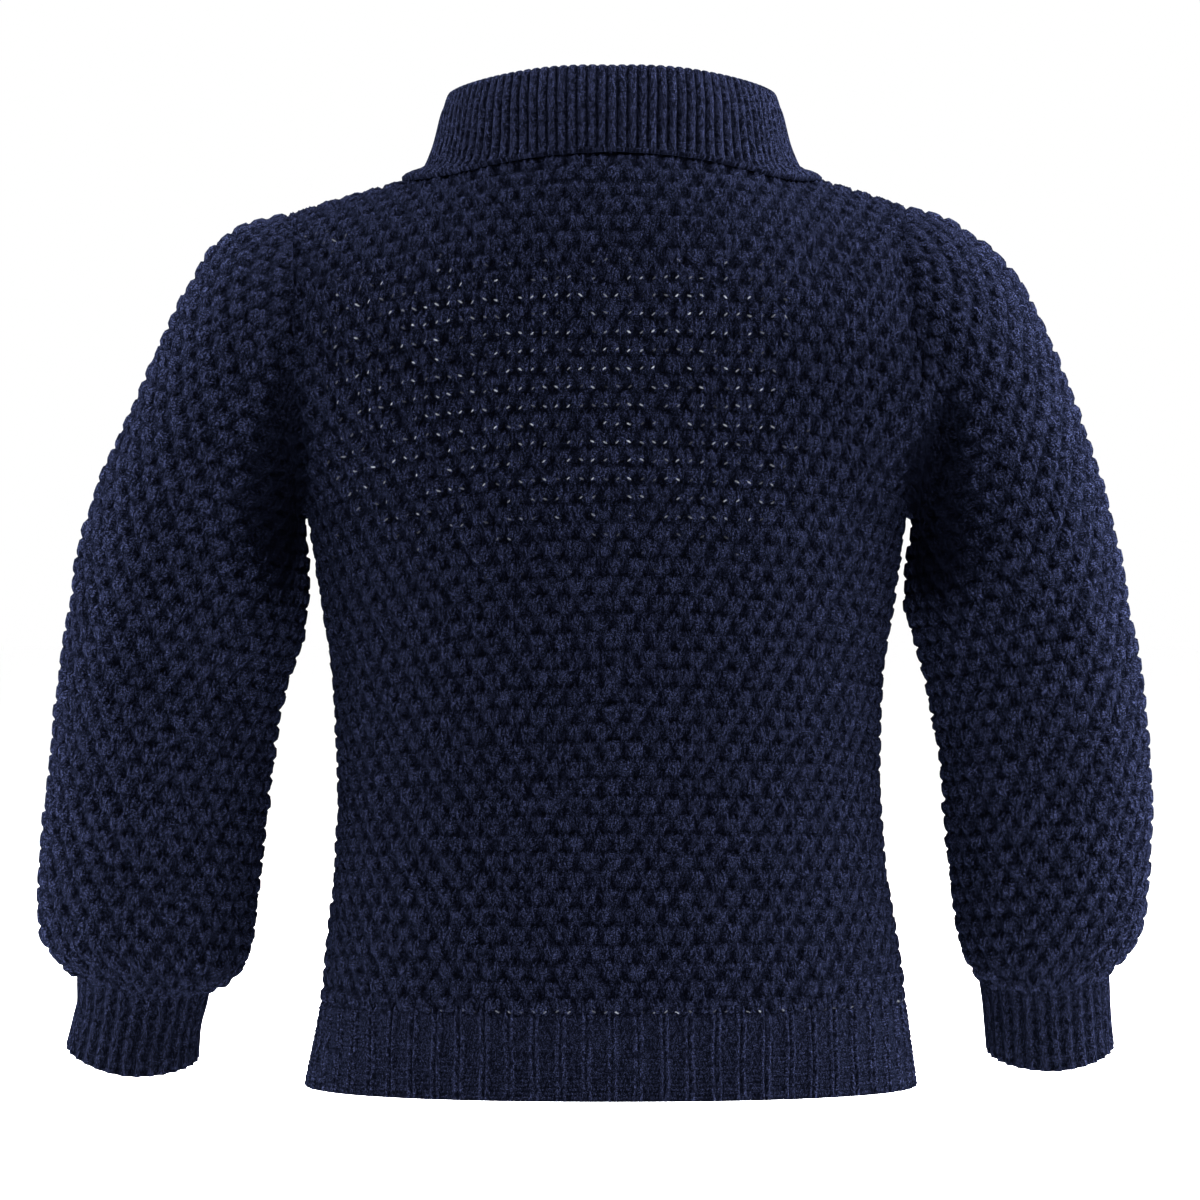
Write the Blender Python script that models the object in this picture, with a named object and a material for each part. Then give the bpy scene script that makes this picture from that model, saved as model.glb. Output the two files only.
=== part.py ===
"""Child's knitted cardigan, filled out as if worn: metres, +Z up, front towards -Y.

The wearer's left is +X.  The origin lies on the shoulder line, midway between the shoulders,
where the wearer carries the garment.  Every piece of cloth is an open-ended wall of its own:
back, two fronts, two sleeves, collar, three hem ribs, two cuffs and two button bands, with the
buttons on the outer band.  The shapes come from short tables of sections in millimetres.
"""

import math
from typing import NamedTuple

import bmesh
import bpy
import numpy as np
from mathutils import Matrix, Vector
from mathutils.bvhtree import BVHTree

MM = 0.001

# Driving sizes, in millimetres.
SEAM_GAP = 0.3
CURVED_SEAM_GAP = 0.4
BUBBLE_WALL = 3.0
RIB_WALL = 2.4
COLLAR_WALL = 2.4
BAND_WALL = 2.2
BAND_WIDTH = 26.0
RIB_JOIN_HEIGHT = -341.0
HEM_HEIGHT = -375.0
UNDERARM_HEIGHT = -138.0
NECK_HALF_WIDTH = 64.0
NECK_BACK_DEPTH = 50.0
NECK_FRONT_DEPTH = 58.0
NECK_SIDE_HEIGHT = 1.0
NECK_BACK_RISE = 7.0
NECK_FRONT_DROP = 43.0
SHOULDER_BOW = 0.5
BODY_SQUARENESS = 2.25
SHOULDER_SHARE = 5.0 / 12.0
BUTTON_COUNT = 5
BUTTON_DIAMETER = 15.0
BUTTON_THICKNESS = 3.0
BUTTON_TOP_HEIGHT = -70.0
BUTTON_BOTTOM_HEIGHT = -348.0
BUTTON_HOLE_DIAMETER = 1.8
BUTTON_HOLE_SPREAD = 2.0
BAND_TOP_TURN = 17.0
BAND_LEVEL = (BAND_WALL + SEAM_GAP) / 2.0
COLLAR_FOLD_RADIUS = 1.8
STAND_DIP = 3.0
FALL_CLEARANCE = SEAM_GAP + COLLAR_WALL / 2.0 + 1.5
SLEEVE_UNDERARM_DIP = 1.5

# Shapes of the blends, as powers.
YOKE_BLEND = 1.6
SLEEVE_DIP_BLEND = 8

# Mesh fineness.
HALF_PANEL_COLUMNS = 12
LOWER_ROWS = 5
YOKE_ROWS = 10
TUBE_SIDES = 20
BAND_COLUMNS = 2
BAND_SAMPLES = 60
COLLAR_SECTIONS = 30
COLLAR_FOLD_STEPS = 4
COLLAR_FALL_STEPS = 4
REST_ROWS = 30
BUTTON_SIDES = 12
BUTTON_HOLE_SIDES = 5
SHARP_ANGLE = 50.0


class Finish(NamedTuple):
    """Plain finish of a kind of piece."""

    name: str
    colour: tuple
    roughness: float


BUBBLE_KNIT = Finish("bubble_knit", (0.018, 0.024, 0.055, 1.0), 0.95)
RIB_KNIT = Finish("rib_knit", (0.022, 0.028, 0.060, 1.0), 0.9)
BUTTON_RESIN = Finish("resin", (0.012, 0.015, 0.032, 1.0), 0.35)


class BodyLevel(NamedTuple):
    """One level of the body below the underarm: reach to each side, and depth each way."""

    height: float
    left: float
    right: float
    back: float
    front: float


class YokeLevel(NamedTuple):
    """One level above the underarm, set by how far it has turned round the armhole (degrees)."""

    turn: float
    back_height: float
    back_depth: float
    front_height: float
    front_depth: float


class Armhole(NamedTuple):
    """The open ring that a sleeve is set into, from the underarm point to the shoulder point."""

    side: int
    under_x: float
    under_z: float
    top_x: float
    top_z: float
    half_depth: float
    bow: float


class SleeveRing(NamedTuple):
    """One ring of a sleeve or cuff: its two ends seen from behind, and its depth."""

    inner_x: float
    inner_z: float
    outer_x: float
    outer_z: float
    half_depth: float
    centre_y: float


class RimPoint(NamedTuple):
    """One point of a button's profile, as shares of its radius and thickness."""

    radius: float
    height: float


class CollarSection(NamedTuple):
    """One section of the collar: turn round the neck, its fold, and the free edge of its fall."""

    turn: float
    inset: float
    fold_rise: float
    fold_out: float
    edge_x: float
    edge_y: float
    edge_z: float
    sway: float


BODY_LEVELS = (
    BodyLevel(-375.0, 125.5, 124.5, 85.0, 87.0),
    BodyLevel(-341.0, 119.0, 120.0, 83.0, 86.0),
    BodyLevel(-320.0, 117.0, 117.5, 82.0, 85.0),
    BodyLevel(-283.0, 113.0, 111.5, 79.5, 83.0),
    BodyLevel(-250.0, 112.0, 109.5, 78.5, 82.0),
    BodyLevel(-215.0, 113.5, 110.0, 78.5, 82.0),
    BodyLevel(-178.0, 118.5, 115.0, 80.0, 83.0),
    BodyLevel(-156.0, 122.0, 118.5, 81.5, 84.0),
    BodyLevel(-138.0, 125.0, 121.0, 82.0, 84.0),
)

YOKE_LEVELS = (
    YokeLevel(180.0, -138.0, 82.0, -139.0, 84.0),
    YokeLevel(150.0, -118.0, 82.5, -121.0, 84.0),
    YokeLevel(120.0, -95.0, 82.5, -103.0, 82.0),
    YokeLevel(90.0, -69.0, 81.5, -86.0, 78.5),
    YokeLevel(60.0, -40.0, 78.5, -70.0, 73.5),
    YokeLevel(30.0, -11.0, 70.0, -55.0, 67.0),
    YokeLevel(0.0, 8.0, 50.0, -42.0, 58.0),
)

LEFT_ARMHOLE = Armhole(1, 125.0, -138.0, 134.0, -18.0, 52.0, 0.0)
RIGHT_ARMHOLE = Armhole(-1, 121.0, -138.0, 121.0, -14.5, 52.0, 3.0)

LEFT_SLEEVE = (
    SleeveRing(127.0, -143.0, 148.5, -22.0, 55.5, 0.0),
    SleeveRing(127.0, -147.0, 161.0, -29.5, 57.0, 0.0),
    SleeveRing(126.8, -151.0, 173.0, -47.0, 56.5, 0.0),
    SleeveRing(126.2, -156.0, 184.5, -71.0, 55.0, 0.0),
    SleeveRing(125.6, -162.0, 197.0, -99.0, 53.0, -1.0),
    SleeveRing(125.6, -174.0, 211.0, -130.0, 51.0, -2.0),
    SleeveRing(127.5, -191.0, 220.5, -163.0, 49.5, -4.0),
    SleeveRing(135.0, -213.0, 226.5, -203.0, 48.0, -7.0),
    SleeveRing(140.0, -240.0, 231.0, -240.0, 46.5, -11.0),
    SleeveRing(143.5, -270.0, 234.5, -270.0, 45.5, -15.0),
    SleeveRing(147.0, -297.0, 237.0, -297.0, 44.0, -19.0),
    SleeveRing(149.0, -314.0, 236.5, -313.0, 41.5, -21.5),
    SleeveRing(152.0, -326.0, 230.0, -323.5, 37.0, -23.5),
    SleeveRing(158.5, -333.0, 223.5, -329.0, 31.0, -24.5),
    SleeveRing(166.5, -337.0, 221.5, -331.5, 26.5, -25.0),
)
LEFT_CUFF = (
    SleeveRing(169.0, -345.5, 221.5, -341.0, 25.2, -26.8),
    SleeveRing(171.5, -355.0, 223.5, -350.0, 25.2, -28.6),
    SleeveRing(172.5, -367.0, 226.5, -361.0, 26.2, -31.0),
)

RIGHT_SLEEVE = (
    SleeveRing(124.5, -143.0, 136.0, -19.5, 55.5, 0.0),
    SleeveRing(124.5, -147.0, 148.5, -27.5, 57.0, 0.0),
    SleeveRing(124.0, -151.0, 164.0, -41.5, 56.5, 0.0),
    SleeveRing(123.0, -156.0, 177.0, -65.5, 55.0, 0.0),
    SleeveRing(122.0, -163.0, 189.5, -95.5, 53.0, -1.0),
    SleeveRing(121.0, -177.0, 201.5, -131.0, 50.5, -2.0),
    SleeveRing(125.5, -194.0, 210.0, -166.0, 48.5, -4.0),
    SleeveRing(130.5, -214.0, 217.0, -203.0, 46.5, -7.0),
    SleeveRing(135.5, -240.0, 221.0, -239.0, 44.5, -11.0),
    SleeveRing(138.5, -270.0, 222.5, -269.0, 43.0, -15.0),
    SleeveRing(141.5, -297.0, 221.0, -296.0, 41.5, -19.0),
    SleeveRing(144.0, -314.0, 219.0, -312.0, 38.5, -21.5),
    SleeveRing(147.5, -325.0, 212.0, -322.5, 34.5, -23.0),
    SleeveRing(151.0, -330.0, 207.0, -327.5, 29.5, -24.0),
    SleeveRing(153.0, -334.5, 206.0, -331.0, 26.0, -25.0),
)
RIGHT_CUFF = (
    SleeveRing(154.5, -343.5, 206.5, -341.0, 25.0, -26.8),
    SleeveRing(155.5, -353.5, 207.2, -351.0, 25.0, -28.6),
    SleeveRing(156.5, -363.5, 208.5, -361.0, 25.8, -31.0),
)

COLLAR_TABLE = (
    CollarSection(0.0, 0.9, 29.5, 0.5, 0.0, 66.0, 4.5, 0.0),
    CollarSection(30.0, 0.9, 30.3, 0.5, 36.0, 61.0, 2.5, -1.0),
    CollarSection(60.0, 0.9, 30.3, 0.5, 70.0, 43.0, -2.5, -4.5),
    CollarSection(90.0, 0.9, 30.0, 1.0, 90.5, 3.0, -5.0, -6.0),
    CollarSection(120.0, 1.8, 24.0, 3.0, 86.0, -42.0, -17.0, -4.0),
    CollarSection(150.0, 2.6, 16.0, 5.0, 68.0, -77.0, -50.0, 0.0),
    CollarSection(178.5, 2.8, 8.0, 6.0, 36.0, -90.0, -84.0, 2.0),
)

BUTTON_PROFILE = (
    RimPoint(0.0, 0.67),
    RimPoint(0.62, 0.67),
    RimPoint(0.74, 1.0),
    RimPoint(0.9, 1.0),
    RimPoint(1.0, 0.5),
    RimPoint(0.85, 0.0),
    RimPoint(0.0, 0.0),
)


def clear_scene() -> None:
    """Remove the objects that the new scene starts with."""
    for item in list(bpy.data.objects):
        bpy.data.objects.remove(item, do_unlink=True)


def make_material(piece: str, finish: Finish) -> bpy.types.Material:
    """Return a piece's own material, in one plain finish."""
    material = bpy.data.materials.new(piece + "_" + finish.name)
    material.use_nodes = True
    surface = material.node_tree.nodes["Principled BSDF"]
    surface.inputs["Base Color"].default_value = finish.colour
    surface.inputs["Roughness"].default_value = finish.roughness
    surface.inputs["Metallic"].default_value = 0.0
    return material


def smooth(at, keys, values) -> np.ndarray:
    """Return a curve through (keys, values) that never overshoots them (monotone cubic)."""
    keys = np.asarray(keys, float)
    values = np.asarray(values, float)
    at = np.clip(np.asarray(at, float), keys[0], keys[-1])
    widths = np.diff(keys)
    slopes = np.diff(values) / widths
    tangents = np.empty_like(values)
    tangents[0], tangents[-1] = slopes[0], slopes[-1]
    before, after = slopes[:-1], slopes[1:]
    heavy = 2.0 * widths[1:] + widths[:-1]
    light = widths[1:] + 2.0 * widths[:-1]
    same_way = before * after > 0.0
    safe_before = np.where(same_way, before, 1.0)
    safe_after = np.where(same_way, after, 1.0)
    mean = (heavy + light) / (heavy / safe_before + light / safe_after)
    tangents[1:-1] = np.where(same_way, mean, 0.0)
    index = np.clip(np.searchsorted(keys, at, side="right") - 1, 0, len(widths) - 1)
    width = widths[index]
    part = (at - keys[index]) / width
    square, cube = part**2, part**3
    return (
        (2.0 * cube - 3.0 * square + 1.0) * values[index]
        + (cube - 2.0 * square + part) * width * tangents[index]
        + (3.0 * square - 2.0 * cube) * values[index + 1]
        + (cube - square) * width * tangents[index + 1]
    )


def column(table: tuple, name: str) -> np.ndarray:
    """Return one named column of a table."""
    return np.array([getattr(row, name) for row in table], float)


def seam_height(turn: np.ndarray) -> np.ndarray:
    """Height of the neck seam at a turn (radians) from the centre back to the centre front."""
    rise = NECK_BACK_RISE * np.cos(np.minimum(turn, math.pi / 2.0)) ** 2
    drop = NECK_FRONT_DROP * np.cos(np.maximum(turn, math.pi / 2.0)) ** 2
    return NECK_SIDE_HEIGHT + rise - drop


def neck_point(turn: np.ndarray, side: int, inset: float) -> np.ndarray:
    """Point of the neck seam at a turn (radians) from the centre back to the centre front."""
    depth = np.where(turn <= math.pi / 2.0, NECK_BACK_DEPTH, NECK_FRONT_DEPTH)
    x = side * (NECK_HALF_WIDTH - inset) * np.sin(turn)
    y = (depth - inset) * np.cos(turn)
    return np.stack([x, y, seam_height(turn)], axis=-1)


def armhole_point(hole: Armhole, turn: np.ndarray, facing: int) -> np.ndarray:
    """Point of an armhole: turn 0 at the shoulder, pi at the underarm, by the back or front."""
    x_mean, x_half = (hole.top_x + hole.under_x) / 2.0, (hole.top_x - hole.under_x) / 2.0
    z_mean, z_half = (hole.top_z + hole.under_z) / 2.0, (hole.top_z - hole.under_z) / 2.0
    reach = x_mean + x_half * np.cos(turn) + hole.bow * np.sin(turn) ** 2
    depth = facing * hole.half_depth * np.sin(turn)
    return np.stack([hole.side * reach, depth, z_mean + z_half * np.cos(turn)], axis=-1)


def section_curve(edge: np.ndarray, centre_y: np.ndarray, centre_z: np.ndarray,
                  share: np.ndarray, stop: float) -> np.ndarray:
    """Part of a squared-off ellipse, from the edge point of a section towards its centre line.

    Share 0 is the edge, share 1 is where x = stop, and share 2 is the centre line.
    """
    power = 2.0 / BODY_SQUARENESS
    start = np.arcsin(np.abs(edge[..., 1] / centre_y) ** (1.0 / power))
    reach = np.abs(edge[..., 0]) / np.cos(start) ** power
    stop_angle = np.arccos((stop / reach) ** (1.0 / power))
    angle = start + np.minimum(share, 1.0) * (stop_angle - start)
    angle = angle + np.clip(share - 1.0, 0.0, 1.0) * (math.pi / 2.0 - stop_angle)
    x = np.sign(edge[..., 0]) * reach * np.maximum(np.cos(angle), 0.0) ** power
    y = centre_y * np.sin(angle) ** power
    z = centre_z + (edge[..., 2] - centre_z) * (x / edge[..., 0]) ** 2
    return np.stack([x, y, z], axis=-1)


def top_curve(hole: Armhole, facing: int, share: np.ndarray, stop: float) -> np.ndarray:
    """Shoulder seam from the armhole to the neck, then the neckline as far as share 2."""
    shoulder = np.clip(share / SHOULDER_SHARE, 0.0, 1.0)
    x = hole.top_x + (NECK_HALF_WIDTH - hole.top_x) * shoulder
    z = hole.top_z + (NECK_SIDE_HEIGHT - hole.top_z) * shoulder
    z = z + SHOULDER_BOW * np.sin(math.pi * shoulder)
    on_shoulder = np.stack([hole.side * x, np.zeros_like(x), z], axis=-1)
    stop_turn = math.asin(stop / NECK_HALF_WIDTH)
    round_neck = np.clip((share - SHOULDER_SHARE) / (1.0 - SHOULDER_SHARE), 0.0, 1.0)
    turn = math.pi / 2.0 - round_neck * (math.pi / 2.0 - stop_turn)
    turn = turn - np.clip(share - 1.0, 0.0, 1.0) * stop_turn
    if facing < 0:
        turn = math.pi - turn
    on_neck = neck_point(turn, hole.side, 0.0)
    return np.where((share <= SHOULDER_SHARE)[..., None], on_shoulder, on_neck)


def lower_rows(hole: Armhole, facing: int, heights: np.ndarray, shares: np.ndarray,
               stop: float) -> np.ndarray:
    """Rows of half the body between the hem and the underarm."""
    keys = column(BODY_LEVELS, "height")
    reach = smooth(heights, keys, column(BODY_LEVELS, "left" if hole.side > 0 else "right"))
    depth = facing * smooth(heights, keys, column(BODY_LEVELS, "back" if facing > 0 else "front"))
    edge = np.stack([hole.side * reach, np.zeros_like(reach), heights], axis=-1)[:, None, :]
    return section_curve(edge, depth[:, None], heights[:, None], shares[None, :], stop)


def yoke_rows(hole: Armhole, facing: int, turns: np.ndarray, shares: np.ndarray,
              stop: float) -> np.ndarray:
    """Rows of half the body above the underarm, fanning round the armhole to the top seams."""
    keys = column(YOKE_LEVELS, "turn")[::-1]
    word = "back" if facing > 0 else "front"
    degrees = np.degrees(turns)
    height = smooth(degrees, keys, column(YOKE_LEVELS, word + "_height")[::-1])
    depth = facing * smooth(degrees, keys, column(YOKE_LEVELS, word + "_depth")[::-1])
    edge = armhole_point(hole, turns, facing)[:, None, :]
    rows = section_curve(edge, depth[:, None], height[:, None], shares[None, :], stop)
    towards_top = np.clip(1.0 - turns / (math.pi / 2.0), 0.0, 1.0)[:, None, None] ** YOKE_BLEND
    return rows + (top_curve(hole, facing, shares, stop)[None] - rows) * towards_top


def torso_half(hole: Armhole, facing: int, heights: np.ndarray, turns: np.ndarray,
               shares: np.ndarray, stop: float) -> np.ndarray:
    """Half of the back or of the front, from its side seam to share 1 (or on to the centre)."""
    parts = []
    if len(heights):
        parts.append(lower_rows(hole, facing, heights, shares, stop))
    if len(turns):
        parts.append(yoke_rows(hole, facing, turns, shares, stop))
    points = np.concatenate(parts)
    points[..., 1] += facing * SEAM_GAP / 2.0
    return points


def lap_offset(shares: np.ndarray) -> np.ndarray:
    """How far a front moves in or out near the bands, so that one band can lie on the other."""
    near = np.clip((shares - 0.5) / 0.5, 0.0, 1.0)
    return BAND_LEVEL * near**2 * (3.0 - 2.0 * near)


def outward(points: np.ndarray, closed: bool) -> np.ndarray:
    """Unit normals of a grid of points, rows going up, columns turning to the left seen outside."""
    along = np.gradient(points, axis=0)
    if closed:
        across = np.roll(points, -1, axis=1) - np.roll(points, 1, axis=1)
    else:
        across = np.gradient(points, axis=1)
    normal = np.cross(across, along)
    return normal / np.linalg.norm(normal, axis=-1, keepdims=True)


def flatten(normals: np.ndarray, where: tuple, axis: int) -> None:
    """Take one axis out of some of the wall directions, so that the rim there is a flat seam."""
    chosen = normals[where]
    chosen[..., axis] = 0.0
    normals[where] = chosen / np.linalg.norm(chosen, axis=-1, keepdims=True)


def keep_off(normals: np.ndarray, where: tuple, side: int) -> None:
    """Turn wall directions that lean away from a side, so that the rim does not pass its seam."""
    chosen = normals[where]
    chosen[..., 0] = np.maximum(chosen[..., 0] * side, 0.0) * side
    normals[where] = chosen / np.linalg.norm(chosen, axis=-1, keepdims=True)


def wall_object(name: str, outer: np.ndarray, normals: np.ndarray, thickness: float,
                finish: Finish, closed: bool) -> None:
    """Make a wall from its outer face: rows x columns of points, and the way out at each."""
    rows, columns = outer.shape[:2]
    inner = outer - normals * thickness
    vertices = np.concatenate([outer.reshape(-1, 3), inner.reshape(-1, 3)]) * MM
    index = np.arange(rows * columns).reshape(rows, columns)
    if closed:
        index = np.concatenate([index, index[:, :1]], axis=1)
    below_left, below_right = index[:-1, :-1], index[:-1, 1:]
    above_left, above_right = index[1:, :-1], index[1:, 1:]
    face = np.stack([below_left, below_right, above_right, above_left], axis=-1).reshape(-1, 4)
    shift = rows * columns
    faces = [face, face[:, ::-1] + shift, rim_faces(index[0][::-1], shift),
             rim_faces(index[-1], shift)]
    if not closed:
        faces += [rim_faces(index[:, 0], shift), rim_faces(index[::-1, -1], shift)]
    mesh = bpy.data.meshes.new(name)
    mesh.from_pydata(vertices.tolist(), [], np.concatenate(faces).tolist())
    mesh.validate()
    mesh.materials.append(make_material(name, finish))
    mesh.shade_smooth()
    mesh.set_sharp_from_angle(angle=math.radians(SHARP_ANGLE))
    bpy.context.collection.objects.link(bpy.data.objects.new(name, mesh))


def rim_faces(loop: np.ndarray, shift: int) -> np.ndarray:
    """Faces that close the edge of a wall between its outer and inner face."""
    start, end = loop[:-1], loop[1:]
    return np.stack([start, end, end + shift, start + shift], axis=-1)


def body_heights() -> np.ndarray:
    """Heights of the body's rows from the rib join to just under the underarm."""
    return np.linspace(RIB_JOIN_HEIGHT + SEAM_GAP / 2.0, UNDERARM_HEIGHT, LOWER_ROWS + 1)[:-1]


def yoke_turns() -> np.ndarray:
    """Turns round the armhole from the underarm to the shoulder seam."""
    return np.linspace(math.pi, 0.0, YOKE_ROWS + 1)


def back_points(heights: np.ndarray, turns: np.ndarray) -> np.ndarray:
    """Outer face of the back, from the left side seam round to the right one."""
    shares = np.linspace(0.0, 1.0, HALF_PANEL_COLUMNS + 1)
    left = torso_half(LEFT_ARMHOLE, 1, heights, turns, shares, 0.0)
    right = torso_half(RIGHT_ARMHOLE, 1, heights, turns, shares, 0.0)
    return np.concatenate([left, right[:, -2::-1]], axis=1)


def make_back() -> None:
    """Back panel: both halves in one piece, side seam to side seam, rib join to neckline."""
    heights = body_heights()
    points = back_points(heights, yoke_turns())
    normals = outward(points, closed=False)
    shoulder = int(round(SHOULDER_SHARE * HALF_PANEL_COLUMNS))
    lower = len(heights) + 1
    flatten(normals, (0, slice(None)), 2)
    flatten(normals, (slice(0, lower), 0), 1)
    flatten(normals, (slice(0, lower), -1), 1)
    flatten(normals, (-1, slice(0, shoulder)), 1)
    flatten(normals, (-1, slice(-shoulder, None)), 1)
    keep_off(normals, (slice(lower, None), 0), 1)
    keep_off(normals, (slice(lower, None), -1), -1)
    normals[-1, shoulder:-shoulder] = (0.0, 0.0, 1.0)
    wall_object("back", points, normals, BUBBLE_WALL, BUBBLE_KNIT, closed=False)


def front_wall(hole: Armhole, heights: np.ndarray, turns: np.ndarray) -> tuple:
    """Outer face and wall directions of one front, moved in or out where the bands overlap."""
    shares = np.linspace(0.0, 1.0, HALF_PANEL_COLUMNS + 1)
    stop = BAND_WIDTH / 2.0 + SEAM_GAP
    points = torso_half(hole, -1, heights, turns, shares, stop)
    lap = -hole.side * lap_offset(shares)
    if hole.side > 0:
        points, lap = points[:, ::-1], lap[::-1]
    normals = outward(points, closed=False)
    flatten(normals, (slice(None), 0 if hole.side > 0 else -1), 0)
    return points + normals * lap[None, :, None], normals


def make_front(name: str, hole: Armhole) -> None:
    """One front panel, from the side seam to the edge of the button band."""
    heights = body_heights()
    points, normals = front_wall(hole, heights, yoke_turns())
    shoulder = int(round(SHOULDER_SHARE * HALF_PANEL_COLUMNS))
    lower = len(heights) + 1
    flatten(normals, (0, slice(None)), 2)
    keep_off(normals, (slice(lower, None), -1 if hole.side > 0 else 0), hole.side)
    if hole.side > 0:
        flatten(normals, (slice(0, lower), -1), 1)
        flatten(normals, (-1, slice(-shoulder, None)), 1)
        normals[-1, :-shoulder] = (0.0, 0.0, 1.0)
    else:
        flatten(normals, (slice(0, lower), 0), 1)
        flatten(normals, (-1, slice(0, shoulder)), 1)
        normals[-1, shoulder:] = (0.0, 0.0, 1.0)
    wall_object(name, points, normals, BUBBLE_WALL, BUBBLE_KNIT, closed=False)


def make_hem_ribs() -> None:
    """Ribbed hem: one piece under the back and one under each front."""
    heights = np.linspace(HEM_HEIGHT, RIB_JOIN_HEIGHT - SEAM_GAP / 2.0, 3)
    no_turns = np.empty(0)
    back = back_points(heights, no_turns)
    pieces = {
        "hem_rib_back": (back, outward(back, closed=False)),
        "hem_rib_front_left": front_wall(LEFT_ARMHOLE, heights, no_turns),
        "hem_rib_front_right": front_wall(RIGHT_ARMHOLE, heights, no_turns),
    }
    side_columns = {"hem_rib_back": (0, -1), "hem_rib_front_left": (-1,),
                    "hem_rib_front_right": (0,)}
    for name, (points, normals) in pieces.items():
        flatten(normals, (0, slice(None)), 2)
        flatten(normals, (-1, slice(None)), 2)
        for side_column in side_columns[name]:
            flatten(normals, (slice(None), side_column), 1)
        wall_object(name, points, normals, RIB_WALL, RIB_KNIT, closed=False)


def band_strip(heights: np.ndarray, turns: np.ndarray) -> tuple:
    """Middle face between the two button bands, and the way out: the fronts' own centre strip."""
    outwards = np.linspace(2.0, 1.0, BAND_COLUMNS // 2 + 1)
    stop = BAND_WIDTH / 2.0
    left = torso_half(LEFT_ARMHOLE, -1, heights, turns, outwards, stop)
    right = torso_half(RIGHT_ARMHOLE, -1, heights, turns, outwards, stop)
    points = np.concatenate([right[:, :0:-1], left], axis=1)
    normals = outward(points, closed=False)
    flatten(normals, (slice(None), 0), 0)
    flatten(normals, (slice(None), -1), 0)
    return points, normals


def make_bands() -> None:
    """Two button bands: the wearer's right one lies over the left one."""
    heights = np.linspace(HEM_HEIGHT, UNDERARM_HEIGHT, 2 * LOWER_ROWS)[:-1]
    turns = np.linspace(math.pi, math.radians(BAND_TOP_TURN), YOKE_ROWS)
    points, normals = band_strip(heights, turns)
    flatten(normals, (0, slice(None)), 2)
    for name, side in (("button_band_left", -1), ("button_band_right", 1)):
        outer = points + normals * side * BAND_LEVEL
        wall_object(name, outer, normals, BAND_WALL, RIB_KNIT, closed=False)


def ring_points(rings: tuple, side: int, turns: np.ndarray) -> np.ndarray:
    """Points of sleeve rings: turn 0 at the outer end, a quarter at the back, half inside."""
    centre_y = column(rings, "centre_y")
    inner = np.stack([side * column(rings, "inner_x"), centre_y, column(rings, "inner_z")], axis=-1)
    outer = np.stack([side * column(rings, "outer_x"), centre_y, column(rings, "outer_z")], axis=-1)
    middle, half = (inner + outer) / 2.0, (outer - inner) / 2.0
    run = np.gradient(middle, axis=0)
    depth_way = np.cross(half, run) * side
    depth_way /= np.linalg.norm(depth_way, axis=-1, keepdims=True)
    depth_way *= np.sign(depth_way[:, 1:2])
    depth = depth_way * column(rings, "half_depth")[:, None]
    cos, sin = np.cos(turns)[None, :, None], np.sin(turns)[None, :, None]
    return middle[:, None] + half[:, None] * cos + depth[:, None] * sin


def make_arm(hole: Armhole, sleeve: tuple, cuff: tuple) -> None:
    """Set-in balloon sleeve from the armhole, and the ribbed cuff below its gathered end."""
    turns = np.linspace(0.0, 2.0 * math.pi, TUBE_SIDES, endpoint=False)
    folded = np.where(turns <= math.pi, turns, 2.0 * math.pi - turns)
    facing = np.where(turns <= math.pi, 1, -1)
    start = armhole_point(hole, folded, 1)
    start[:, 1] *= facing
    start[:, 0] += hole.side * CURVED_SEAM_GAP
    start[:, 2] -= SLEEVE_UNDERARM_DIP * (folded / math.pi) ** SLEEVE_DIP_BLEND
    rings = ring_points(sleeve + cuff, hole.side, turns)
    points = np.concatenate([start[None], rings])[::-1]
    if hole.side < 0:
        points = points[:, ::-1]
    normals = outward(points, closed=True)
    keep_off(normals, (-1, slice(None)), -hole.side)
    word = "left" if hole.side > 0 else "right"
    join = len(cuff)
    quarter, half = TUBE_SIDES // 4, TUBE_SIDES // 2
    axis = np.cross(points[join, 0] - points[join, quarter], points[join, 0] - points[join, half])
    axis /= np.linalg.norm(axis)
    axis *= np.sign(axis[2])
    normals[join] -= (normals[join] @ axis)[:, None] * axis
    normals[join] /= np.linalg.norm(normals[join], axis=-1, keepdims=True)
    wall_object("sleeve_" + word, points[join:], normals[join:], BUBBLE_WALL, BUBBLE_KNIT,
                closed=True)
    points[join] -= axis * SEAM_GAP
    stop = join + 1
    wall_object("cuff_" + word, points[:stop], normals[:stop], RIB_WALL, RIB_KNIT, closed=True)


def body_faces() -> BVHTree:
    """The outer faces of the yoke, which the fall of the collar rests on."""
    heights, turns = body_heights()[-1:], np.linspace(math.pi, 0.0, REST_ROWS)
    grids = [back_points(heights, turns)]
    grids += [front_wall(hole, heights, turns)[0] for hole in (LEFT_ARMHOLE, RIGHT_ARMHOLE)]
    vertices, faces = [], []
    for grid in grids:
        index = np.arange(grid.shape[0] * grid.shape[1]).reshape(grid.shape[:2]) + len(vertices)
        quads = [index[:-1, :-1], index[:-1, 1:], index[1:, 1:], index[1:, :-1]]
        faces += np.stack(quads, axis=-1).reshape(-1, 4).tolist()
        vertices += grid.reshape(-1, 3).tolist()
    return BVHTree.FromPolygons(vertices, faces)


def rest_on(body: BVHTree, point: Vector, clearance: float) -> Vector:
    """Move a point out of the body, or off it, until it keeps a clearance."""
    place, normal, _, _ = body.find_nearest(point)
    if (point - place).dot(normal) < clearance:
        return place + normal * clearance
    return point


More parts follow.
